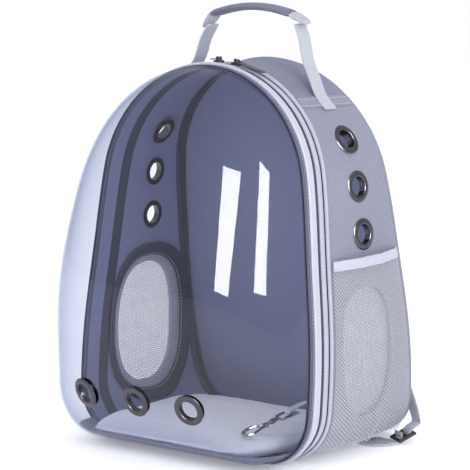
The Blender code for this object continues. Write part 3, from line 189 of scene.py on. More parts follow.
def wall_point(y, z, proud):
    """A point of the right side wall at a depth and a height, moved out by proud."""
    near = front_plane(z) + BAND_DEPTH
    share = float(np.clip((y - near) / (back_plane(z) - near), 0.0, 1.0))
    xs, zs = arch_half(between(FRONT, BACK, share), proud)
    x = float(np.interp(z, zs[::-1], xs[::-1]))
    x = x * (1.0 - waist(z) + SIDE_SWELL * swell(share) / FRONT.half_width)
    return (x, y, z)


print("rim outline", len(front_loop(0.0)), "points")

# %% [markdown]
# ## Meshes from rows of points
# Cloth, tape and plastic sheet are all surfaces through rows of points. One helper joins the rows
# with faces and also lays the surface out flat in metres. That flat chart lets a weave keep its
# real size on a curved piece. Each finished piece rides on a body and says what it stands for.

# %% Mesh helpers
FLAT = "flat"


def skin(name, rows, closed=False, ring=False, caps=(), chart=None):
    """A mesh through rows of points; closed joins each row, ring joins the last row to the first."""
    spots = np.array(rows, dtype=float)
    lines, columns = spots.shape[:2]
    wide = np.concatenate([spots, spots[:, :1]], axis=1) if closed else spots
    tall = np.concatenate([spots, spots[:1]]) if ring else spots
    along = np.r_[0.0, np.cumsum(np.linalg.norm(np.diff(wide, axis=1), axis=2).mean(axis=0))]
    down = np.r_[0.0, np.cumsum(np.linalg.norm(np.diff(tall, axis=0), axis=2).mean(axis=1))]
    faces, charted = [], []
    for i in range(len(down) - 1):
        for j in range(len(along) - 1):
            corners = ((i, j), (i, j + 1), (i + 1, j + 1), (i + 1, j))
            faces.append([(a % lines) * columns + b % columns for a, b in corners])
            charted += [(along[b], down[a]) for a, b in corners]
    for row in caps:
        face = [(row % lines) * columns + j for j in range(columns)]
        faces.append(face if row else face[::-1])
        charted += [(0.0, 0.0)] * columns
    mesh = bpy.data.meshes.new(name)
    mesh.from_pydata(spots.reshape(-1, 3).tolist(), [], faces)
    if chart is not None:
        charted = [chart(mesh.vertices[loop.vertex_index].co) for loop in mesh.loops]
    mesh.uv_layers.new(name=FLAT).data.foreach_set("uv", np.array(charted, np.float32).ravel())
    mesh.shade_smooth()
    return mesh


def linked(name, data):
    """An object of its data, in the scene."""
    item = bpy.data.objects.new(name, data)
    bpy.context.scene.collection.objects.link(item)
    return item


def put(name, mesh, look, stands_for=()):
    """Make an object of a mesh, dress it and let it ride on the bag."""
    item = linked(name, mesh)
    mesh.materials.clear()
    mesh.materials.append(look)
    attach(item, "bag")
    if stands_for:
        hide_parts(*stands_for)
    return item


def settle(item):
    """Apply a piece's modifiers for good."""
    graph = bpy.context.evaluated_depsgraph_get()
    graph.update()
    seen = item.evaluated_get(graph)
    mesh = bpy.data.meshes.new_from_object(seen, preserve_all_data_layers=True, depsgraph=graph)
    item.modifiers.clear()
    item.data = mesh
    return item


def thicken(item, wall, offset=-1.0, lining=None):
    """Give a surface a wall; the far face may take another finish."""
    layer = item.modifiers.new("wall", "SOLIDIFY")
    layer.thickness = wall
    layer.offset = offset
    layer.use_even_offset = True
    if lining is not None:
        item.data.materials.append(lining)
        layer.material_offset = 1
    return item


def face_outward(mesh):
    """Turn every face of a closed mesh outwards."""
    shape = bmesh.new()
    shape.from_mesh(mesh)
    bmesh.ops.recalc_face_normals(shape, faces=shape.faces)
    shape.to_mesh(mesh)
    shape.free()


def soften(item, levels=2):
    layer = item.modifiers.new("soft", "SUBSURF")
    layer.levels = levels
    layer.render_levels = levels
    return item


def mirrored(points, side):
    """Points of the right wall, or their mirror image with the same outward face."""
    points = [(side * p[0], p[1], p[2]) for p in points]
    return points if side > 0 else points[::-1]


# %% [markdown]
# ## Shader sums in plain Python
# A finish is a small sum: a weave is two sine waves multiplied, a heather is noise added to a
# colour. Wiring Math nodes by hand hides that, so a Wire wraps a socket and lets the sums be
# written with + - * /. A Recipe holds one finish and adds any other node by its type.

# %% Wires and recipes
class Wire:
    """A socket of a finish; sums on it add Math nodes."""

    def __init__(self, recipe, socket):
        self.recipe = recipe
        self.socket = socket

    def sum(self, how, *values):
        return self.recipe.node("ShaderNodeMath", {"operation": how}, dict(enumerate(values)))

    def __add__(self, other):
        return self.sum("ADD", self, other)

    def __sub__(self, other):
        return self.sum("SUBTRACT", self, other)

    def __rsub__(self, other):
        return self.sum("SUBTRACT", other, self)

    def __mul__(self, other):
        return self.sum("MULTIPLY", self, other)

    def __truediv__(self, other):
        return self.sum("DIVIDE", self, other)

    def __rtruediv__(self, other):
        return self.sum("DIVIDE", other, self)

    def __pow__(self, other):
        return self.sum("POWER", self, other)

    __radd__ = __add__
    __rmul__ = __mul__

    def sine(self):
        return self.sum("SINE", self)

    def size(self):
        return self.sum("ABSOLUTE", self)

    def least(self, other):
        return self.sum("MINIMUM", self, other)

    def above(self, level):
        return self.sum("GREATER_THAN", self, level)


class Recipe:
    """The nodes of one finish."""

    def __init__(self, name, slot=None):
        self.material = bpy.data.materials.new("finish_" + name)
        self.material["slot"] = slot or name
        self.material.use_nodes = True
        self.tree = self.material.node_tree
        self.shader = self.tree.nodes["Principled BSDF"]

    def plug(self, socket, value):
        if isinstance(value, Wire):
            self.tree.links.new(value.socket, socket)
        else:
            socket.default_value = value

    def node(self, kind, settings=None, inputs=None, output=0):
        made = self.tree.nodes.new(kind)
        for name, value in (settings or {}).items():
            setattr(made, name, value)
        for name, value in (inputs or {}).items():
            self.plug(made.inputs[name], value)
        return Wire(self, made.outputs[output])

    def blend(self, share, first, second):
        """One colour passing into another."""
        return self.node("ShaderNodeMix", {"data_type": "RGBA"}, {0: share, 6: first, 7: second}, 2)

    def noise(self, scale, detail=3.0):
        """Even noise in space; scale is in turns per metre."""
        place = self.node("ShaderNodeTexCoord", output=3)
        return self.node("ShaderNodeTexNoise", inputs={"Vector": place, "Scale": scale, "Detail": detail})

    def chart(self):
        """The flat chart's two coordinates, in metres."""
        place = self.node("ShaderNodeUVMap", {"uv_map": FLAT})
        return [self.node("ShaderNodeSeparateXYZ", inputs={0: place}, output=k) for k in (0, 1)]

    def weave(self, pitch):
        """Height of a plain weave on the chart, from 0 to 1."""
        u, v = self.chart()
        turn = math.tau / pitch
        return (u * turn).sine() * (v * turn).sine() * 0.5 + 0.5

    def bump(self, height, distance, strength=1.0):
        inputs = {"Height": height, "Distance": distance, "Strength": strength}
        return self.node("ShaderNodeBump", inputs=inputs)

    def finish(self, values):
        for name, value in values.items():
            self.plug(self.shader.inputs[name], value)
        return self.material


def tone(red, green, blue):
    """A colour from its screen values, 0 to 255, as the shader wants it."""
    shares = [c / 255.0 for c in (red, green, blue)]
    return (*[s / 12.92 if s <= 0.04045 else ((s + 0.055) / 1.055) ** 2.4 for s in shares], 1.0)


# %% [markdown]
# ## Cloths
# The outer cloth is a heathered polyester: fine threads of two close greys with a lavender cast.
# Its crown panel takes a darker copy of the same cloth, a painted shade on the bag's top. The lining
# is a smoother, bluer cloth with a faint sheen. They share one function, because only their tones,
# pitch and gloss differ.

# %% Outer cloth and lining
HEATHER_SCALE, CLOUD_SCALE = 420.0, 9.0


def cloth(name, dark, light, pitch, roughness, sheen):
    recipe = Recipe(name, name if name == "board_fabric" else "grey_fabric")
    threads = recipe.weave(pitch)
    heather = recipe.noise(HEATHER_SCALE, 2.0)
    clouds = recipe.noise(CLOUD_SCALE)
    share = heather * 0.7 + threads * 0.25 + clouds * 0.25 - 0.1
    return recipe.finish({
        "Base Color": recipe.blend(share, dark, light),
        "Roughness": roughness + clouds * 0.08,
        "Sheen Weight": sheen,
        "Sheen Roughness": 0.5,
        "Specular IOR Level": 0.3,
        "Normal": recipe.bump(threads * 0.6 + heather * 0.4, 0.00012),
    })


outer_cloth = cloth("grey_fabric", tone(118, 121, 140), tone(160, 163, 181), 0.0011, 0.82, 0.08)
# painted shade: the crown cloth is the outer cloth made darker, standing for the shade on the bag's top
shaded_crown_cloth = cloth("shaded_crown_cloth", tone(108, 111, 134), tone(146, 149, 172), 0.0011, 0.80, 0.06)
lining_cloth = cloth("lining_cloth", tone(118, 123, 156), tone(142, 147, 178), 0.0007, 0.60, 0.12)
board_cloth = cloth("board_fabric", tone(110, 114, 140), tone(138, 142, 166), 0.0011, 0.85, 0.05)
print("cloths made")

# %% [markdown]
# ## Tapes, webbing and thread
# Tape and webbing are woven with ribs across their length, so one sine wave along the chart is
# enough. Binding is the same tape in navy, folded over an edge. Slot names group the tapes that
# the maker would cut from one roll.

# %% Tapes
def ribbed(name, dark, light, pitch, depth, roughness=0.7, along=0, slot=None):
    recipe = Recipe(name, slot)
    both = recipe.chart()
    rib = (both[along] * (math.tau / pitch)).sine() * 0.5 + 0.5
    cross = (both[1 - along] * (math.tau / (pitch * 1.7))).sine() * 0.5 + 0.5
    fuzz = recipe.noise(300.0)
    return recipe.finish({
        "Base Color": recipe.blend(rib * 0.5 + cross * 0.2 + fuzz * 0.4 - 0.05, dark, light),
        "Roughness": roughness + fuzz * 0.15,
        "Sheen Weight": 0.12,
        "Normal": recipe.bump(rib * 0.7 + cross * 0.3, depth),
    })


navy_binding = ribbed("navy_binding", tone(52, 56, 82), tone(88, 92, 122), 0.0012, 0.00012)
white_trim = ribbed("white_trim", tone(176, 179, 198), tone(208, 211, 228), 0.0010, 0.00008, 0.5)
mauve_tape = ribbed("mauve_tape", tone(184, 182, 204), tone(214, 212, 230), 0.0013, 0.00010)
grey_tape = ribbed("grey_tape", tone(166, 168, 188), tone(202, 203, 220), 0.0013, 0.00010)
# painted shade: a darker copy of the navy binding, for tape that lies inside the bag
shaded_navy_tape = ribbed("shaded_navy_tape", tone(26, 30, 52), tone(46, 52, 80), 0.0012, 0.00010, slot="navy_binding")
grip_wrap = ribbed("grip_wrap", tone(84, 87, 110), tone(116, 119, 142), 0.0013, 0.00010, slot="grey_webbing")
zip_steel = ribbed("zip_steel", tone(58, 60, 78), tone(104, 106, 126), 0.0015, 0.00010, 0.4, slot="dark_zip")
grey_webbing = ribbed("grey_webbing", tone(168, 171, 183), tone(200, 203, 214), 0.0018, 0.00018, along=1)
pale_cuff = ribbed("pale_cuff", tone(160, 162, 174), tone(196, 198, 208), 0.0014, 0.00020)
dark_zip = ribbed("dark_zip", tone(26, 27, 38), tone(62, 64, 82), 0.0015, 0.00010, 0.45)
thread = ribbed("thread", tone(196, 198, 214), tone(228, 230, 242), 0.0006, 0.00005, slot="white_trim")

# %% [markdown]
# ## Metal and hard plastic
# The eyelets and sliders are gunmetal: dark, glossy and a little uneven where the plating is
# rubbed. The snap hook is duller nickel. The ladder locks are black moulded plastic.

# %% Metal and plastic
WEAR_SCALE, GRAIN_SCALE = 60.0, 900.0


def hard(name, dark, light, metallic, low, high):
    recipe = Recipe(name)
    wear = recipe.noise(WEAR_SCALE, 4.0)
    fine = recipe.noise(GRAIN_SCALE, 2.0)
    return recipe.finish({
        "Base Color": recipe.blend(wear, dark, light),
        "Metallic": metallic,
        "Roughness": low + wear * (high - low),
        "Normal": recipe.bump(fine, 0.00003, 0.6),
    })


gunmetal = hard("gunmetal", tone(62, 60, 66), tone(104, 102, 108), 1.0, 0.16, 0.34)
steel = hard("steel", tone(112, 113, 120), tone(176, 177, 184), 1.0, 0.14, 0.30)
black_plastic = hard("black_plastic", tone(16, 16, 18), tone(34, 34, 38), 0.0, 0.30, 0.48)

# %% [markdown]
# ## The clear bubble's plastic
# Real glass bends light, but the bubble's wall is thin and even, so what shows is only a slight
# tint, deeper where the wall is seen edge on, and reflections that grow towards its edges. Two
# tints and a gloss, mixed by the facing angle, show that without dark shadows inside.

# %% Clear plastic
clear = Recipe("clear_plastic")
clear.tree.nodes.remove(clear.shader)
ripple = clear.bump(clear.noise(7.0, 1.0), 0.0005, 0.1)
tint = clear.node("ShaderNodeBsdfTransparent", inputs={"Color": (0.945, 0.951, 0.970, 1.0)})
deep = clear.node("ShaderNodeBsdfTransparent", inputs={"Color": (0.700, 0.725, 0.840, 1.0)})
gloss = clear.node(
    "ShaderNodeBsdfAnisotropic", inputs={"Color": (1.0, 1.0, 1.0, 1.0), "Roughness": 0.02, "Normal": ripple}
)
grazing = clear.node("ShaderNodeLayerWeight", inputs={"Blend": 0.5}, output=1)
tinted = clear.node("ShaderNodeMixShader", inputs={0: grazing ** 1.6 * 0.98, 1: tint, 2: deep})
shell = clear.node("ShaderNodeMixShader", inputs={0: grazing ** 5.0 * 0.45 + 0.016, 1: tinted, 2: gloss})
clear.plug(clear.tree.nodes["Material Output"].inputs["Surface"], shell)
clear_plastic = clear.material

# %% [markdown]
# ## Nets
# The pocket is a diamond net of 4.4 mm pitch, and the window a finer square mesh of 2.4 mm.
# Knitting each thread would take a million faces, so a sum on the flat chart says where thread is
# and where a hole is, and the answer goes to Alpha.

# %% Nets
def net(name, dark, light, pitch, thread_share, diagonal):
    recipe = Recipe(name)
    u, v = recipe.chart()
    turn = math.pi / pitch
    first, second = (u + v, u - v) if diagonal else (u, v)
    lines = (first * turn).sine().size().least((second * turn).sine().size())
    cord = 1.0 - lines.above(thread_share)
    fuzz = recipe.noise(500.0)
    return recipe.finish({
        "Base Color": recipe.blend(fuzz, dark, light),
        "Roughness": 0.62 + fuzz * 0.15,
        "Alpha": cord,
        "Normal": recipe.bump(1.0 - lines, 0.0004),
    })


pocket_thread = net("pocket_net", tone(180, 180, 188), tone(232, 232, 238), 0.0044, 0.29, True)
window_thread = net("window_mesh", tone(196, 198, 212), tone(230, 231, 240), 0.0024, 0.50, False)

# %% [markdown]
# ## Plush
# The mat is a short white pile. Up close it is a mass of soft clumps, so its bump mixes two
# sizes of noise, and a sheen stands for light caught in the tips of the pile.

# %% Plush
plush = Recipe("white_plush")
clumps = plush.noise(130.0, 5.0)
tips = plush.noise(700.0, 2.0)
white_plush = plush.finish({
    "Base Color": plush.blend(clumps * 0.8 + tips * 0.3 - 0.1, tone(216, 218, 228), tone(250, 250, 254)),
    "Roughness": 0.95,
    "Sheen Weight": 0.5,
    "Sheen Roughness": 0.6,
    "Specular IOR Level": 0.1,
    "Normal": plush.bump(clumps * 0.7 + tips * 0.3, 0.0012, 0.8),
})

# %% [markdown]
# ## The bubble
# The bubble is blown from one flat sheet, so it bellies out most below its middle and meets the
# rim almost squarely. Its rows shrink from the rim to the tip as a superellipse. Three holes are
# bored low in it for the air eyelets, which are kept where the frame has them.

# %% Bubble and the holes in it
DOME_DEPTH, DOME_BELLY, BELLY_AT, BELLY_REACH = 0.0905, 0.0280, 0.1960, 0.1000
DOME_WALL = 0.0018
DOME_CENTRE = 0.1360
DEPTH_POWER, OUTLINE_POWER = 2.45, 2.60
BINDING_WALL, BINDING_WIDTH, GAP = 0.0012, 0.0060, 0.0003
DOME_RINGS = 40
BORE = 0.0105
BARREL = BORE + 0.0008
Ring = namedtuple("Ring", "centre axis low high")


def ring_place(node, outward):
    """Centre, axis and reach of an eyelet of the frame."""
    spots = np.array([v.co[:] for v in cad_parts[node].data.vertices])
    centre = spots.mean(axis=0)
    axis = np.linalg.svd(spots - centre)[2][2]
    axis = axis * math.copysign(1.0, float(axis @ np.array(outward)))
    reach = (spots - centre) @ axis
    return Ring(centre, axis, reach.min(), reach.max())


def placed(ring):
    """A matrix whose Z is the eyelet's axis."""
    turn = Vector(ring.axis).to_track_quat("Z", "Y").to_matrix().to_4x4()
    return Matrix.Translation(ring.centre) @ turn


def plugs(rings, extra=()):
    """One object with a round plug for each eyelet, and any extra prisms."""
    shape = bmesh.new()
    for ring in rings:
        bmesh.ops.create_cone(
            shape, cap_ends=True, segments=48, radius1=BARREL, radius2=BARREL, depth=0.03, matrix=placed(ring)
        )
    for near, far in extra:
        ends = [[shape.verts.new(p) for p in loop] for loop in (near, far)]
        shape.faces.new(ends[0][::-1])
        shape.faces.new(ends[1])
        for j in range(len(near)):
            k = (j + 1) % len(near)
            shape.faces.new((ends[0][j], ends[0][k], ends[1][k], ends[1][j]))
    bmesh.ops.recalc_face_normals(shape, faces=shape.faces)
    mesh = bpy.data.meshes.new("plugs")
    shape.to_mesh(mesh)
    shape.free()
    return linked("plugs", mesh)


def bore(item, tool):
    """Cut a tool out of a piece for good and throw the tool away."""
    cut = item.modifiers.new("bore", "BOOLEAN")
    cut.operation = "DIFFERENCE"
    cut.solver = "EXACT"
    cut.object = tool
    settle(item)
    bpy.data.objects.remove(tool)
    item.data.shade_smooth()
    item.data.set_sharp_from_angle(angle=math.radians(45))
    return item


def dome_rows():
    x, z = arch_half(FRONT, -(BINDING_WALL + GAP))
    rim = closed_loop(x * (1.0 - waist(z)), front_plane(z), z)
    centre = np.array((0.0, 0.0, DOME_CENTRE))
    rows = []
    for share in np.linspace(0.9995, 0.0, DOME_RINGS):
        turn = math.pi / 2 * share ** 1.25
        spread = math.cos(turn) ** (2.0 / OUTLINE_POWER)
        reach = math.sin(turn) ** (2.0 / DEPTH_POWER)
        row = centre + (rim - centre) * np.array((spread, 1.0, spread))
        belly = DOME_BELLY * np.exp(-(((row[:, 2] - BELLY_AT) / BELLY_REACH) ** 2))
        row[:, 1] = front_plane(row[:, 2]) - (DOME_DEPTH + belly) * reach
        rows.append(row)
    rows.append(rim + np.array((0.0, BINDING_WIDTH - BINDING_WALL - 2 * GAP, 0.0)))
    return rows


dome_rings = [ring_place("dome_eyelet_%d" % k, (0, -1, 0)) for k in (1, 2, 3)]
bubble = put("bubble", skin("bubble", dome_rows(), closed=True, caps=(0,)), clear_plastic, ["dome"])
bubble_spots = [v.co.copy() for v in bubble.data.vertices]
bubble_normals = [v.normal.copy() for v in bubble.data.vertices]
bubble_faces = [p.vertices[:] for p in bubble.data.polygons]
bubble_tree = BVHTree.FromPolygons(bubble_spots, bubble_faces)
bore(thicken(bubble, DOME_WALL), plugs(dome_rings))
print("bubble", len(bubble.data.polygons), "faces")

# %% [markdown]
# ## Eyelets
# An eyelet is a flanged tube rolled over a washer. The rolled lip catches the light, so its
# profile is rounded with several points before it is turned about its axis.

# %% Eyelets
FLANGE, WASHER, CROWN, WASHER_WALL = 0.0172, 0.0160, 0.0016, 0.0009
EYELET_STEPS = 64


def turned(name, profile, place, look, stands_for):
    """A closed profile of radius and height, turned about a placement's Z."""
    angles = [math.tau * k / EYELET_STEPS for k in range(EYELET_STEPS)]
    circle = [(math.cos(a), math.sin(a)) for a in angles]
    rows = [
        [place @ Vector((radius * c, radius * s, height)) for c, s in circle] for radius, height in profile
    ]
    mesh = skin(name, rows, closed=True, ring=True)
    item = put(name, mesh, look, stands_for)
    mesh.set_sharp_from_angle(angle=math.radians(50))
    return item


def eyelet(node, ring):
    high = ring.high - CROWN
    low = ring.low
    profile = [
        (BORE, low), (BORE, high + 0.0006), (BORE + 0.0003, high + 0.0012), (BORE + 0.0010, high + 0.0016),
        (0.0135, high + 0.00155), (0.0152, high + 0.0013), (0.0165, high + 0.0008), (FLANGE, high + 0.0002),
        (FLANGE - 0.0003, high), (BARREL, high), (BARREL, low + WASHER_WALL), (WASHER, low + WASHER_WALL),
        (WASHER, low),
    ]
    return turned("ring_" + node, profile[::-1], placed(ring), gunmetal, [node])


for k, ring in enumerate(dome_rings):
    eyelet("dome_eyelet_%d" % (k + 1), ring)
side_rings = {}
for side, hand in ((-1, "left"), (1, "right")):
    for k in (1, 2, 3):
        node = "%s_eyelet_%d" % (hand, k)
        side_rings[node] = ring_place(node, (side, 0, 0))
        eyelet(node, side_rings[node])
print(len(side_rings) + len(dome_rings), "eyelets")

# %% [markdown]
# ## The cloth body
# The body is one long strip of cloth bent round the outline, with a lining inside. It is built as
# a surface with a real 4 mm wall, so the far face can take the lining. The crown between the two
# shoulder seams takes a darker copy of the cloth, a painted shade, chosen face by face by its height.

# %% Cloth body
GUSSET_WALL = 0.0040
WINDOW_AT, WINDOW_HEIGHT = 0.1020, 0.1140
APERTURE = (0.0920, 0.1400)
OVAL_POWER, OVAL_STEPS = 2.5, 72
SEAM_HEIGHT = 0.3830
BODY_ROWS = 26


def oval(width, height):
    points = []
    for k in range(OVAL_STEPS):
        c, s = math.cos(math.tau * k / OVAL_STEPS), math.sin(math.tau * k / OVAL_STEPS)
        across = math.copysign(abs(c) ** (2.0 / OVAL_POWER), c) * 0.5 * width
        points.append((across, math.copysign(abs(s) ** (2.0 / OVAL_POWER), s) * 0.5 * height))
    return points


window_y = front_plane(WINDOW_HEIGHT) + WINDOW_AT
shell_rows = [body_loop(share) for share in np.linspace(0.0, 1.0, BODY_ROWS)]
shell_rows[0] = shell_rows[0] + np.array((0.0, GAP, 0.0))
body = put("cloth_body", skin("cloth_body", shell_rows, closed=True), outer_cloth, ["gusset"])
thicken(body, GUSSET_WALL, lining=lining_cloth)
windows = [
    [[(side * x, window_y + a, WINDOW_HEIGHT + b) for a, b in oval(*APERTURE)] for x in (0.08, 0.20)]
    for side in (-1, 1)
]
bore(body, plugs(side_rings.values(), windows))
# painted shade: faces above the shoulder seams take the darker copy of the outer cloth
body.data.materials.append(shaded_crown_cloth)
for face in body.data.polygons:
    if face.material_index == 0 and face.center.z > SEAM_HEIGHT:
        face.material_index = 2
print("cloth body", len(body.data.polygons), "faces")

# %% [markdown]
# ## Things sewn round the rim
# Binding, piping and tapes all run round the same outline with different sections. Sweeping a
# small closed section along the rim makes each of them in one line. A thin liner closes the rim
# on the inside, as the bag's own lining does.

# %% Rim trims
TAPE_SINK, TAPE_WALL = 0.0012, 0.0014
FRONT_PIPING, REAR_PIPING, PIPING_STAND = 0.0022, 0.0020, 0.0004
FRONT_TAPE, REAR_TAPE, ZIP_RADIUS = 0.0098, 0.0080, 0.0020
SEAM_TAPE_AT, SEAM_TAPE_WIDTH = 0.0262, 0.0145
LINER_AT, LINER_WIDTH, LINER_WALL = 0.0066, 0.0196, 0.0005


def swept(name, section, look, stands_for):
    """A small closed section of depth and height, swept round the rim."""
    rows = [front_loop(depth, proud) for depth, proud in section]
    mesh = skin(name, rows, closed=True, ring=True)
    item = put(name, mesh, look, stands_for)
    mesh.set_sharp_from_angle(angle=math.radians(60))
    return item


def round_section(depth, proud, radius, steps=14):
    angles = [math.tau * k / steps for k in range(steps)]
    return [(depth + radius * math.sin(a), proud + radius * math.cos(a)) for a in angles]


def flat_section(start, width, top, wall, crown=0.0003):
    """A tape's section, a little crowned, with soft edges."""
    shares = (0.0, 0.04, 0.2, 0.5, 0.8, 0.96, 1.0)
    lift = (-0.45 * wall, -0.1 * wall, 0.6 * crown, crown, 0.6 * crown, -0.1 * wall, -0.45 * wall)
    over = [(start + width * s, top + h) for s, h in zip(shares, lift)]
    return over + [(start + width, top - wall), (start, top - wall)]


slot = DOME_WALL + 2 * GAP
fold = [
    (0.0006, -0.0002), (0.0000, -0.0006), (0.0004, -BINDING_WALL),
    (BINDING_WIDTH - BINDING_WALL, -BINDING_WALL), (BINDING_WIDTH - BINDING_WALL, -BINDING_WALL - slot),
    (0.0004, -BINDING_WALL - slot), (0.0000, -BINDING_WALL - slot - 0.0006),
    (0.0006, -2 * BINDING_WALL - slot + 0.0002), (BINDING_WIDTH - 0.0006, -2 * BINDING_WALL - slot),
    (BINDING_WIDTH, -2 * BINDING_WALL - slot + 0.0006),
    (BINDING_WIDTH, -0.0006), (BINDING_WIDTH - 0.0006, 0.0),
]
swept("edge_binding", fold[::-1], navy_binding, ["dome_binding"])
depth = BINDING_WIDTH + GAP + FRONT_PIPING
swept("front_cord", round_section(depth, PIPING_STAND, FRONT_PIPING), white_trim, ["front_piping"])
depth += FRONT_PIPING + GAP
swept("front_tape", flat_section(depth, FRONT_TAPE, -TAPE_SINK, TAPE_WALL), mauve_tape, ["front_zip_tape"])
front_tape_at = depth
depth += FRONT_TAPE + GAP + ZIP_RADIUS
zip_depth = depth
depth += ZIP_RADIUS + GAP
swept("rear_tape", flat_section(depth, REAR_TAPE, -TAPE_SINK, TAPE_WALL), grey_tape, ["rear_zip_tape"])
rear_tape_at = depth
depth += REAR_TAPE + GAP + REAR_PIPING
swept("rear_cord", round_section(depth, PIPING_STAND, REAR_PIPING), grey_tape, ["rear_piping"])
seam_top = -(TAPE_SINK + TAPE_WALL + 2 * GAP)
seam_section = flat_section(SEAM_TAPE_AT, SEAM_TAPE_WIDTH, seam_top, BINDING_WALL, 0.0)
# painted shade: the inner seam tape takes the darker copy of the navy binding
swept("inner_seam_tape", seam_section, shaded_navy_tape, ["seam_binding"])
swept("rim_liner", flat_section(LINER_AT, LINER_WIDTH, seam_top, LINER_WALL, 0.0), lining_cloth, [])
print("rim depth", round(depth + REAR_PIPING, 4))

# %% [markdown]
# ## Small repeated pieces
# Zip teeth and stitches are the same small shape set down hundreds of times at an even pitch. One
# helper finds the places along a path, and another strews a template over them in one mesh.

# %% Stitches and teeth
LOZENGE = np.array([
    (-1, 0, 0), (-0.6, 1, 0), (-0.6, 0, 1), (-0.6, -1, 0), (-0.6, 0, -1),
    (0.6, 1, 0), (0.6, 0, 1), (0.6, -1, 0), (0.6, 0, -1), (1, 0, 0),
], float)
LOZENGE_FACES = [
    (0, 2, 1), (0, 3, 2), (0, 4, 3), (0, 1, 4), (1, 2, 6, 5), (2, 3, 7, 6), (3, 4, 8, 7), (4, 1, 5, 8),
    (9, 5, 6), (9, 6, 7), (9, 7, 8), (9, 8, 5),
]
BRICK = np.array([(x, y, z) for x in (-1, 1) for y in (-1, 1) for z in (-1, 1)], float)
BRICK_FACES = [(0, 1, 3, 2), (4, 6, 7, 5), (0, 4, 5, 1), (2, 3, 7, 6), (0, 2, 6, 4), (1, 5, 7, 3)]


def unit(vectors):
    return vectors / np.linalg.norm(vectors, axis=1)[:, None]


def marks(path, out, pitch, closed=False):
    """Places at an even pitch along a path; out is one outward way or one for each point."""
    path = np.array(path, float)
    out = np.broadcast_to(np.array(out, float), path.shape)
    if closed:
        path, out = np.vstack([path, path[:1]]), np.vstack([out, out[:1]])
    steps = np.r_[0.0, np.cumsum(np.linalg.norm(np.diff(path, axis=0), axis=1))]
    count = max(1, int(steps[-1] / pitch))
    at = (np.arange(count) + 0.5) * steps[-1] / count

    def read(rows, where):
        return np.stack([np.interp(where, steps, rows[:, k]) for k in range(3)], axis=1)

    way = unit(read(path, at + 0.3 * pitch) - read(path, at - 0.3 * pitch))
    side = unit(np.cross(way, read(out, at)))
    return read(path, at), way, side, np.cross(side, way)


def strewn(name, places, template, faces, sizes, look, sway=0.0, stands_for=()):
    """Copies of a small shape at marked places; sway moves every other one sideways."""
    centres, ways, sides, outs = places
    sway = sway * np.where(np.arange(len(centres)) % 2, 1.0, -1.0)
    points = centres[:, None] + sway[:, None, None] * sides[:, None]
    for k, axis in enumerate((ways, sides, outs)):
        points = points + template[None, :, k : k + 1] * sizes[k] * axis[:, None]
    count = len(template)
    all_faces = [[n * count + v for v in face] for n in range(len(centres)) for face in faces]
    mesh = bpy.data.meshes.new(name)
    mesh.from_pydata(points.reshape(-1, 3).tolist(), [], all_faces)
    flat = points.reshape(-1, 3)[[loop.vertex_index for loop in mesh.loops]][:, [0, 2]]
    mesh.uv_layers.new(name=FLAT).data.foreach_set("uv", flat.astype(np.float32).ravel())
    face_outward(mesh)
    return put(name, mesh, look, stands_for)


STITCH = (0.0014, 0.00030, 0.00028)
STITCH_PITCH = 0.0042


def sewn(name, path, out, closed=False):
    return strewn(name, marks(path, out, STITCH_PITCH, closed), LOZENGE, LOZENGE_FACES, STITCH, thread)


def outward(depth, proud):
    return front_loop(depth, proud + 0.001) - front_loop(depth, proud)


TOOTH, TOOTH_PITCH, TOOTH_SWAY = (0.00055, 0.0008, 0.0007), 0.0016, 0.0004
tooth_top = -TAPE_SINK - 0.0002
teeth_places = marks(front_loop(zip_depth, tooth_top), outward(zip_depth, tooth_top), TOOTH_PITCH, True)
zip_bed = flat_section(zip_depth - 0.0015, 0.0030, -TAPE_SINK - 0.0007, 0.0008, 0.0)
swept("zip_bed", zip_bed, dark_zip, [])
strewn("zip_row", teeth_places, BRICK, BRICK_FACES, TOOTH, zip_steel, TOOTH_SWAY, ["zip_teeth"])
TAPE_EDGE, BINDING_SEAM = 0.0016, 0.0046
tape_seams = (front_tape_at + TAPE_EDGE, front_tape_at + FRONT_TAPE - TAPE_EDGE, rear_tape_at + TAPE_EDGE)
for k, at in enumerate(tape_seams):
    top = -TAPE_SINK + 0.0002
    sewn("rim_stitches_%d" % (k + 1), front_loop(at, top), outward(at, top), True)
sewn("binding_stitches", front_loop(BINDING_SEAM, 0.0), outward(BINDING_SEAM, 0.0), True)
print("zip teeth", len(teeth_places[0]))

# %% [markdown]
# ## Shoulder seams
# Where the crown panel meets the side, the cloth is turned under and sewn twice. The turned edge
# is a low ridge across the body, and the two rows of stitches lie on it.

# %% Shoulder seams
def across_body(height, proud):
    """A line of points across the right side of the body at a height."""
    near, far = front_plane(height) + BAND_DEPTH + 0.002, back_plane(height) - 0.002
    return [wall_point(mix(near, far, share), height, proud) for share in np.linspace(0.0, 1.0, 24)]


for side, hand in ((-1, "left"), (1, "right")):
    lips = [mirrored(across_body(SEAM_HEIGHT + dz, p), side) for dz, p in
            ((0.0035, 0.0001), (0.0025, 0.0008), (-0.0070, 0.0008), (-0.0080, 0.0001))]
    ridge = put("shoulder_seam_" + hand, skin("shoulder_seam_" + hand, lips[::-1]), outer_cloth)
    thicken(ridge, 0.0006)
    for k, dz in enumerate((0.0010, -0.0055)):
        line = mirrored(across_body(SEAM_HEIGHT + dz, 0.0009), side)
        sewn("shoulder_stitches_%s_%d" % (hand, k + 1), line, (side, 0, 0.35))

# %% [markdown]
# ## The padded back
# The panel that lies against the wearer is a pad with a foam core, fuller in its middle and
# quilted in upright channels. The channels are pressed into the mesh, because a bump would leave
# its outline flat.

# %% Padded back
BACK_SEAT, BACK_CROWN, BACK_WALL = 3 * GAP, 0.0040, 0.0065
QUILT_PITCH, QUILT_DEPTH = 0.052, 0.0016


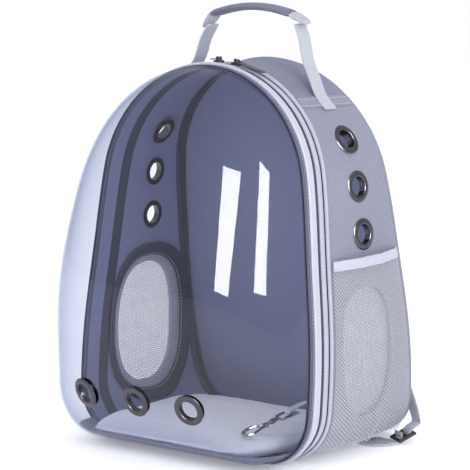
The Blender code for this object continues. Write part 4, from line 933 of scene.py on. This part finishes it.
def back_rows(outer):
    """Rows from the panel's edge to its middle, on its inner or outer face."""
    edge = body_loop(1.0, -0.25 * GUSSET_WALL)
    centre = np.array((0.0, 0.0, 0.5 * BACK.height))
    rows = []
    for scale in (1.0, 0.985, 0.965, 0.94, 0.90, 0.84, 0.76, 0.66, 0.55, 0.43, 0.31, 0.19, 0.08, 0.004):
        row = centre + (edge - centre) * np.array((scale, 1.0, scale))
        crown = BACK_CROWN * float(np.interp(scale, (0.0, 0.55, 0.88, 1.0), (1.0, 1.0, 0.6, 0.0)))
        row[:, 1] = back_plane(row[:, 2]) + BACK_SEAT + crown
        if outer:
            quilt = np.abs(np.cos(math.pi * row[:, 0] / QUILT_PITCH)) ** 0.35
            soft = min(1.0, (1.0 - scale) / 0.10)
            row[:, 1] += BACK_WALL * mix(0.72, 1.0, soft) - QUILT_DEPTH * (1.0 - quilt) * soft
        rows.append(row)
    return rows


panel_rows = back_rows(True)[::-1] + back_rows(False)
panel_mesh = skin("padded_back", panel_rows, closed=True, caps=(0, -1), chart=lambda p: (p.x, p.z))
padded_back = put("padded_back", panel_mesh, outer_cloth, ["back_panel"])
face_outward(padded_back.data)
padded_back.data.materials.append(lining_cloth)
for face in padded_back.data.polygons:
    if face.normal.y < -0.2:
        face.material_index = 1

edge_in = -(GUSSET_WALL + 2 * GAP)


def back_tape(offset, proud):
    first, last = body_loop(0.82, proud), body_loop(1.0, proud)
    share = 1.0 - offset / (last[:, 1] - first[:, 1])
    return first + (last - first) * share[:, None]


tape_rows = [back_tape(at, proud) for at, proud in (
    (0.0150, edge_in), (GAP, edge_in), (GAP, edge_in - 0.0012), (0.0147, edge_in - 0.0012))]
# painted shade: the corner tape inside the back takes the darker copy of the navy binding
put("corner_tape", skin("corner_tape", tape_rows[::-1], closed=True, ring=True), shaded_navy_tape, ["back_binding"])

# %% [markdown]
# ## Windows
# Each side has an oval air window: an opening in the wall, a fine white mesh behind it and a navy
# band that holds the mesh. The band takes the darker copy of the navy binding and is made wider,
# more so towards the bag's back, so that it also carries painted shadow round the window. The mesh
# is a stretched sheet; its flat area is worked out from its size.

# %% Windows
RING_OPENING = (0.1115, 0.1560)
# the band's width and lean hold painted shadow round the window as well as the binding itself
BAND_AND_SHADOW_WIDTH, BAND_SHADOW_LEAN = 0.0135, 0.0045
WINDOW_SHARE = 0.87
MESH_MARGIN = 0.0055
MESH_PROUD = -(GUSSET_WALL + 3 * GAP)
MESH_WALL = 0.0008
RING_PROUD = MESH_PROUD - MESH_WALL - 7 * GAP


def window_row(width, height, proud, side, lean=0.0):
    row = [wall_point(window_y + a + lean, WINDOW_HEIGHT + b, proud) for a, b in oval(width, height)]
    return mirrored(row, side)


for side, hand in ((-1, "left"), (1, "right")):
    wide, tall = RING_OPENING[0] + 2 * MESH_MARGIN, RING_OPENING[1] + 2 * MESH_MARGIN
    shares = (1.0, 0.85, 0.68, 0.5, 0.3, 0.1, 0.01)
    rows = [window_row(wide * s, tall * s, MESH_PROUD - 0.0004, side) for s in shares]
    mesh = skin("air_mesh_" + hand, rows[::-1], closed=True, chart=lambda p: (p.y, p.z))
    airy = put("air_mesh_" + hand, mesh, window_thread, ["window_mesh_" + hand])
    area = WINDOW_SHARE * wide * tall
    band = []
    for across, lift in ((0.0, 0.0), (0.02, 0.0006), (0.10, 0.0011), (0.5, 0.0013), (0.90, 0.0011),
                         (0.98, 0.0006), (1.0, 0.0), (0.98, -0.0002), (0.02, -0.0002)):
        # painted shadow: the band is widened and leaned towards the back to stand for the shadow round the
        # window
        wide, tall = (size + 2 * BAND_AND_SHADOW_WIDTH * across for size in RING_OPENING)
        band.append(window_row(wide, tall, RING_PROUD - lift, side, BAND_SHADOW_LEAN * across))
    hoop = skin("window_band_" + hand, band, closed=True, ring=True)
    put("window_band_" + hand, hoop, shaded_navy_tape, ["window_ring_" + hand])
    line = window_row(RING_OPENING[0] + 0.0035, RING_OPENING[1] + 0.0035, RING_PROUD - 0.0013, side)
    sewn("window_stitches_" + hand, line, (-side, 0, 0), True)

# %% [markdown]
# ## Net pockets
# Each pocket is a slack net held by a white hem at its mouth and gathered at its foot. The folds
# are deepest low down and die out towards the hem. The net's flat size is only measured along the
# shape made here, because the real cut is not known.

# %% Pockets
POCKET_BOTTOM, POCKET_TOP, POCKET_RISE = 0.0130, 0.2050, 0.0040
POCKET_MARGIN, POCKET_ROOM, POCKET_FOLD, POCKET_FOLDS = 0.0035, 0.0100, 0.0030, 4
POCKET_SLACK = 0.0019
NET_LIFT, HEM_LIFT, HEM_HEIGHT = 0.0022, 0.0032, 0.0110
NET_ROWS, NET_COLUMNS, HEM_COLUMNS = 44, 72, 40


def pocket_point(across, z, up, lift):
    near = front_plane(z) + BAND_DEPTH + POCKET_MARGIN
    far = back_plane(z) - POCKET_MARGIN
    belly = math.sin(math.pi * across) ** 0.7 if 0.0 < across < 1.0 else 0.0
    height = 0.35 + 0.65 * math.sin(math.pi * min(1.0, 0.12 + 0.66 * up))
    low = max(0.0, 1.0 - up / 0.45) ** 1.5
    fold = 0.5 * (1.0 - math.cos(math.tau * POCKET_FOLDS * across)) * low
    upright = math.sin(math.tau * (7.0 * across + 0.9 * up))
    slanted = math.sin(math.tau * (3.1 * across - 1.7 * up))
    slack = POCKET_SLACK * (upright + 0.8 * slanted) * math.sin(math.pi * across) * (0.45 + low)
    proud = lift + POCKET_ROOM * belly * height + POCKET_FOLD * fold + slack
    return wall_point(mix(near, far, across), z, proud)


def hem_row(first, last, up, lift, side):
    """A line along the hem, at a share of its height."""
    row = []
    for across in np.linspace(first, last, HEM_COLUMNS):
        z = POCKET_TOP + POCKET_RISE * across + GAP + HEM_HEIGHT * up
        row.append(pocket_point(across, z, 1.0, lift))
    return mirrored(row, side)


for side, hand in ((-1, "left"), (1, "right")):
    rows = []
    for up in np.linspace(0.0, 1.0, NET_ROWS):
        row = []
        for across in np.linspace(0.0, 1.0, NET_COLUMNS):
            z = mix(POCKET_BOTTOM, POCKET_TOP + POCKET_RISE * across, up)
            row.append(pocket_point(across, z, up, NET_LIFT - 0.0005))
        rows.append(mirrored(row, side))
    spots = np.array(rows)
    width = float(np.linalg.norm(np.diff(spots, axis=1), axis=2).sum(axis=1).mean())
    length = float(np.linalg.norm(np.diff(spots, axis=0), axis=2).sum(axis=0).mean())
    net_mesh = skin("net_pocket_" + hand, rows)
    pocket = put("net_pocket_" + hand, net_mesh, pocket_thread, ["pocket_net_" + hand])
    edges = [
        hem_row(0.0, 1.0, up, HEM_LIFT - 0.0018 + bulge, side) for up, bulge in
        ((0.0, 0.0), (0.0, 0.0009), (0.10, 0.0014), (0.5, 0.0017), (0.90, 0.0014), (1.0, 0.0009), (1.0, 0.0))
    ]
    hem_mesh = skin("pocket_edge_" + hand, edges, ring=True)
    hem = put("pocket_edge_" + hand, hem_mesh, white_trim, ["pocket_hem_" + hand])
    for k, up in enumerate((0.14, 0.86)):
        line = hem_row(0.01, 0.99, up, HEM_LIFT - 0.0002, side)
        sewn("hem_stitches_%s_%d" % (hand, k + 1), line, (side, 0, 0))
    print("pocket", hand, "net cut to", round(width, 3), "by", round(length, 3))

# %% [markdown]
# ## Webbing and pads from the frame's own solids
# Webbing, pads and cuffs already have the right path in the frame, only with coarse facets. Their
# mesh is copied, its triangles are joined to quads, and a subdivision surface rounds it. Creases
# keep the thin edges of webbing crisp.

# %% Soft copies
def soft_copy(node, name, look, levels=2, crease=None, chart=lambda p: (p.x, p.z)):
    """A smoother piece in the place of a CAD solid."""
    shape = bmesh.new()
    shape.from_mesh(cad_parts[node].data)
    bmesh.ops.remove_doubles(shape, verts=shape.verts, dist=0.00002)
    bmesh.ops.join_triangles(
        shape, faces=shape.faces,
        angle_face_threshold=math.radians(60), angle_shape_threshold=math.radians(120),
    )
    if crease is not None:
        layer = shape.edges.layers.float.new("crease_edge")
        for e in shape.edges:
            if len(e.link_faces) == 2 and e.calc_face_angle(0.0) > math.radians(crease):
                e[layer] = 0.8
    bmesh.ops.recalc_face_normals(shape, faces=shape.faces)
    mesh = bpy.data.meshes.new(name)
    shape.to_mesh(mesh)
    shape.free()
    for layer in list(mesh.uv_layers):
        mesh.uv_layers.remove(layer)
    item = put(name, mesh, look, [node])
    settle(soften(item, levels))
    spots = [v.co for v in item.data.vertices]
    flat = np.array([chart(spots[loop.vertex_index]) for loop in item.data.loops], np.float32)
    item.data.uv_layers.new(name=FLAT).data.foreach_set("uv", flat.ravel())
    item.data.shade_smooth()
    return item


for hand in ("left", "right"):
    soft_copy(
        "handle_strap_" + hand, "handle_leg_" + hand, grey_webbing, crease=50, chart=lambda p: (p.y, p.z)
    )
    soft_copy("lower_webbing_" + hand, "strap_web_" + hand, grey_webbing, crease=50)
    soft_copy("strap_tab_" + hand, "floor_tab_" + hand, pale_cuff, crease=50, chart=lambda p: (p.x, p.y))
    soft_copy("handle_cuff_" + hand, "grip_cuff_" + hand, pale_cuff)
    pad = soft_copy("shoulder_strap_" + hand, "shoulder_pad_" + hand, outer_cloth, 3)
grip = soft_copy("handle_grip", "padded_grip", grip_wrap, 3, chart=lambda p: (p.x, p.y))
soft_copy("tether", "tether_web", grey_webbing, crease=50, chart=lambda p: (p.x + p.y, p.z))
print("soft copies done")

# %% [markdown]
# ## The plush mat
# A loose pad with a foam core lies on the floor board, and its front lip rides up the bubble. A
# short cloth simulation with a little pressure inside fills it as stuffing does. What it may move
# is capped, and it may not leave the room that its solid holds.

# %% Mat
MAT_CAP = 0.0030
MAT_VOXEL = 0.0045
MAT_PRESSURE, MAT_FRAMES = 4.0, 20


def plumped(item, voxel, cap):
    """Fill a pad by pressure, with the way of each point capped."""
    remesh = item.modifiers.new("even", "REMESH")
    remesh.mode = "VOXEL"
    remesh.voxel_size = voxel
    settle(item)
    rest = np.array([v.co[:] for v in item.data.vertices])
    filling = item.modifiers.new("filling", "CLOTH")
    filling.settings.use_pressure = True
    filling.settings.uniform_pressure_force = MAT_PRESSURE
    filling.settings.effector_weights.gravity = 0.0
    filling.point_cache.frame_end = MAT_FRAMES
    for step in range(1, MAT_FRAMES + 1):
        bpy.context.scene.frame_set(step)
    settle(item)
    bpy.context.scene.frame_set(1)
    now = np.array([v.co[:] for v in item.data.vertices])
    move = now - rest
    far = np.linalg.norm(move, axis=1)
    rest += move * np.minimum(1.0, cap / np.maximum(far, 1e-9))[:, None]
    item.data.vertices.foreach_set("co", rest.astype(np.float32).ravel())
    print(item.name, "filled by up to", round(float(min(far.max(), cap)) * 1000, 1), "mm")
    return item


mat_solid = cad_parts["mat"]
mat_tree = BVHTree.FromPolygons(
    [v.co.copy() for v in mat_solid.data.vertices], [p.vertices[:] for p in mat_solid.data.polygons]
)
mat = soft_copy("mat", "plush_mat", white_plush, 2, chart=lambda p: (p.x, p.y))
plumped(mat, MAT_VOXEL, MAT_CAP)
settle(soften(mat, 1))
for spot in mat.data.vertices:
    near, normal, _, distance = mat_tree.find_nearest(spot.co)
    outside = (spot.co - near).dot(normal)
    if outside > 0.0:
        spot.co = spot.co - normal * outside
    if spot.normal.z > 0.3:
        pile = noise.noise(spot.co * 90.0) * 0.0006 + noise.noise(spot.co * 260.0) * 0.0004
        spot.co.z += pile - 0.0004
mat.data.shade_smooth()
print("mat", len(mat.data.polygons), "faces")

# %% [markdown]
# ## The mat's grey underside and the shade below it
# Below its white edge the mat shows a blue-grey band against the foot of the bubble: partly the mat's
# grey underside, partly painted shade under the mat. It is a thin sheet of cloth, taken from the
# bubble's own rows a little further in, and kept only below the height of the mat's edge.

# %% Mat underside
UNDER_GAP = DOME_WALL + 0.0008
UNDER_TOP = 0.0190
UNDER_SPREAD = 1.6
under_centre = np.array((0.0, SHIFT + 0.02, 0.10))
foot_rows = [row + unit(under_centre - row) * UNDER_GAP for row in dome_rows()[:-1]]
under_mesh = skin("mat_underside_and_shade", foot_rows, closed=True, chart=lambda p: (p.x, p.y))
shape = bmesh.new()
shape.from_mesh(under_mesh)
bmesh.ops.bisect_plane(
    shape, geom=shape.verts[:] + shape.edges[:] + shape.faces[:],
    plane_co=(0, 0, UNDER_TOP), plane_no=(0, 0, 1), clear_outer=True,
)
shape.to_mesh(under_mesh)
shape.free()
# painted shade: a grey sheet standing partly for the mat's underside and partly for the shade below the mat
underside_and_shade = put("mat_underside_and_shade", under_mesh, board_cloth)
# The flat size is worked out from the made mesh's own area and UNDER_SPREAD, a rough chosen share.
# It says how much cloth lies here; it is no independent test of the shape.
area = sum(face.area for face in under_mesh.polygons)
reach = max(v.co.x for v in under_mesh.vertices)
spread = (2.0 * reach, area / (UNDER_SPREAD * reach))
print("underside_and_shade", round(area, 4), "square metres")

# %% [markdown]
# ## Hard pieces kept from the frame
# The sliders, the pull, the hook and the ladder locks are rigid and already true in shape. They
# stay as they are and only take a finish.

# %% Kept pieces
KEPT = {
    "zip_slider_left": gunmetal, "zip_slider_right": gunmetal, "zip_pull_ring": gunmetal,
    "zip_pull_tab": dark_zip, "hook_eye": steel, "hook_body": steel, "hook_gate": steel,
    "ladder_lock_left": black_plastic, "ladder_lock_right": black_plastic, "floor_board": board_cloth,
}
for name, look in KEPT.items():
    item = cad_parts[name]
    item.data.materials.clear()
    item.data.materials.append(look)
print(len(KEPT), "pieces kept")

# %% [markdown]
# ## Studio
# A plain white floor, a bright even surround and two tall glowing cards. The cards stand where
# their mirror images fall on the bubble as two upright strips, which is found by bouncing the
# camera's own rays off the bubble. Three soft lamps add a little modelling.

# %% Floor and surround
floor_mesh = bpy.data.meshes.new("floor")
floor_mesh.from_pydata([(-8, -8, 0), (8, -8, 0), (8, 8, 0), (-8, 8, 0)], [], [(0, 1, 2, 3)])
floor = linked("floor", floor_mesh)
floor.location.z = -0.0004
paper = Recipe("white_paper")
floor_mesh.materials.append(paper.finish({
    "Base Color": (0.95, 0.95, 0.955, 1.0), "Roughness": 0.9,
    "Emission Color": (1.0, 1.0, 1.0, 1.0), "Emission Strength": 0.22,
}))

world = bpy.data.worlds.new("studio")
world.use_nodes = True
bpy.context.scene.world = world
sky = world.node_tree
light_path, direction, split, ramp, choose = (
    sky.nodes.new("ShaderNode" + kind) for kind in ("LightPath", "TexCoord", "SeparateXYZ", "ValToRGB", "Mix")
)
choose.data_type = "RGBA"
low_sky, high_sky = ramp.color_ramp.elements
low_sky.color = (0.62, 0.63, 0.67, 1.0)
high_sky.position = 0.8
high_sky.color = (0.90, 0.90, 0.93, 1.0)
sky.links.new(direction.outputs["Generated"], split.inputs[0])
sky.links.new(split.outputs[2], ramp.inputs[0])
sky.links.new(light_path.outputs["Is Camera Ray"], choose.inputs[0])
sky.links.new(ramp.outputs[0], choose.inputs[6])
choose.inputs[7].default_value = (1.0, 1.0, 1.0, 1.0)
sky.links.new(choose.outputs[2], sky.nodes["Background"].inputs["Color"])
bpy.context.scene.view_settings.view_transform = "Standard"

# %% Soft boxes
BOX_DISTANCE = 1.3
STRIPS = (
    ((223, 166), (241, 172), (228, 297), (214, 291)),
    ((260, 161), (270, 173), (266, 296), (254, 293)),
)
STRIP_GLOW = 28.0
LAMP_SIZE, LAMP_AIM = 1.6, Vector((0.0, 0.0, 0.2))


def photo_ray(px, py):
    """The camera's ray through a pixel of the photograph."""
    pixel = camera.data.sensor_width / LENS / PHOTO_SIDE
    x, y = (px - PHOTO_SIDE / 2) * pixel, (PHOTO_SIDE / 2 - py) * pixel
    return (rightward * x + upward * y - toward).normalized()


def bounced(px, py):
    """A point out along the ray that the bubble throws back through a pixel."""
    way = photo_ray(px, py)
    spot, _, face, _ = bubble_tree.ray_cast(eye, way)
    corners = bubble_faces[face]
    weights = poly_3d_calc([bubble_spots[k] for k in corners], spot)
    normal = sum((bubble_normals[k] * w for k, w in zip(corners, weights)), Vector()).normalized()
    return spot + way.reflect(normal) * BOX_DISTANCE


for k, corners in enumerate(STRIPS):
    top_left, top_right, low_right, low_left = (np.array(corner, float) for corner in corners)
    rows = []
    for down in np.linspace(0.0, 1.0, 28):
        left, right = mix(top_left, low_left, down), mix(top_right, low_right, down)
        rows.append([bounced(*mix(left, right, share)) for share in np.linspace(0.0, 1.0, 5)])
    glow = Recipe("glow_%d" % (k + 1))
    card_mesh = skin("soft_box_%d" % (k + 1), rows)
    card_mesh.materials.append(glow.finish({
        "Base Color": (0.0, 0.0, 0.0, 1.0),
        "Emission Color": (1.0, 1.0, 1.0, 1.0), "Emission Strength": STRIP_GLOW,
    }))
    card = linked("soft_box_%d" % (k + 1), card_mesh)
    card.visible_camera = False
    card.visible_diffuse = False
    card.visible_shadow = False
    print("soft box", k + 1, "size", [round(v, 2) for v in card.dimensions])


def soft_lamp(name, place, energy):
    lamp = bpy.data.lights.new(name, "AREA")
    lamp.size = LAMP_SIZE
    lamp.energy = energy
    box = linked(name, lamp)
    box.location = place
    box.rotation_euler = (LAMP_AIM - Vector(place)).to_track_quat("-Z", "Y").to_euler()
    box.visible_camera = False
    box.visible_glossy = False


soft_lamp("key", (-1.6, -2.4, 2.0), 26.0)
soft_lamp("fill", (2.4, -1.0, 1.2), 18.0)
soft_lamp("rear", (1.0, 2.4, 1.8), 12.0)
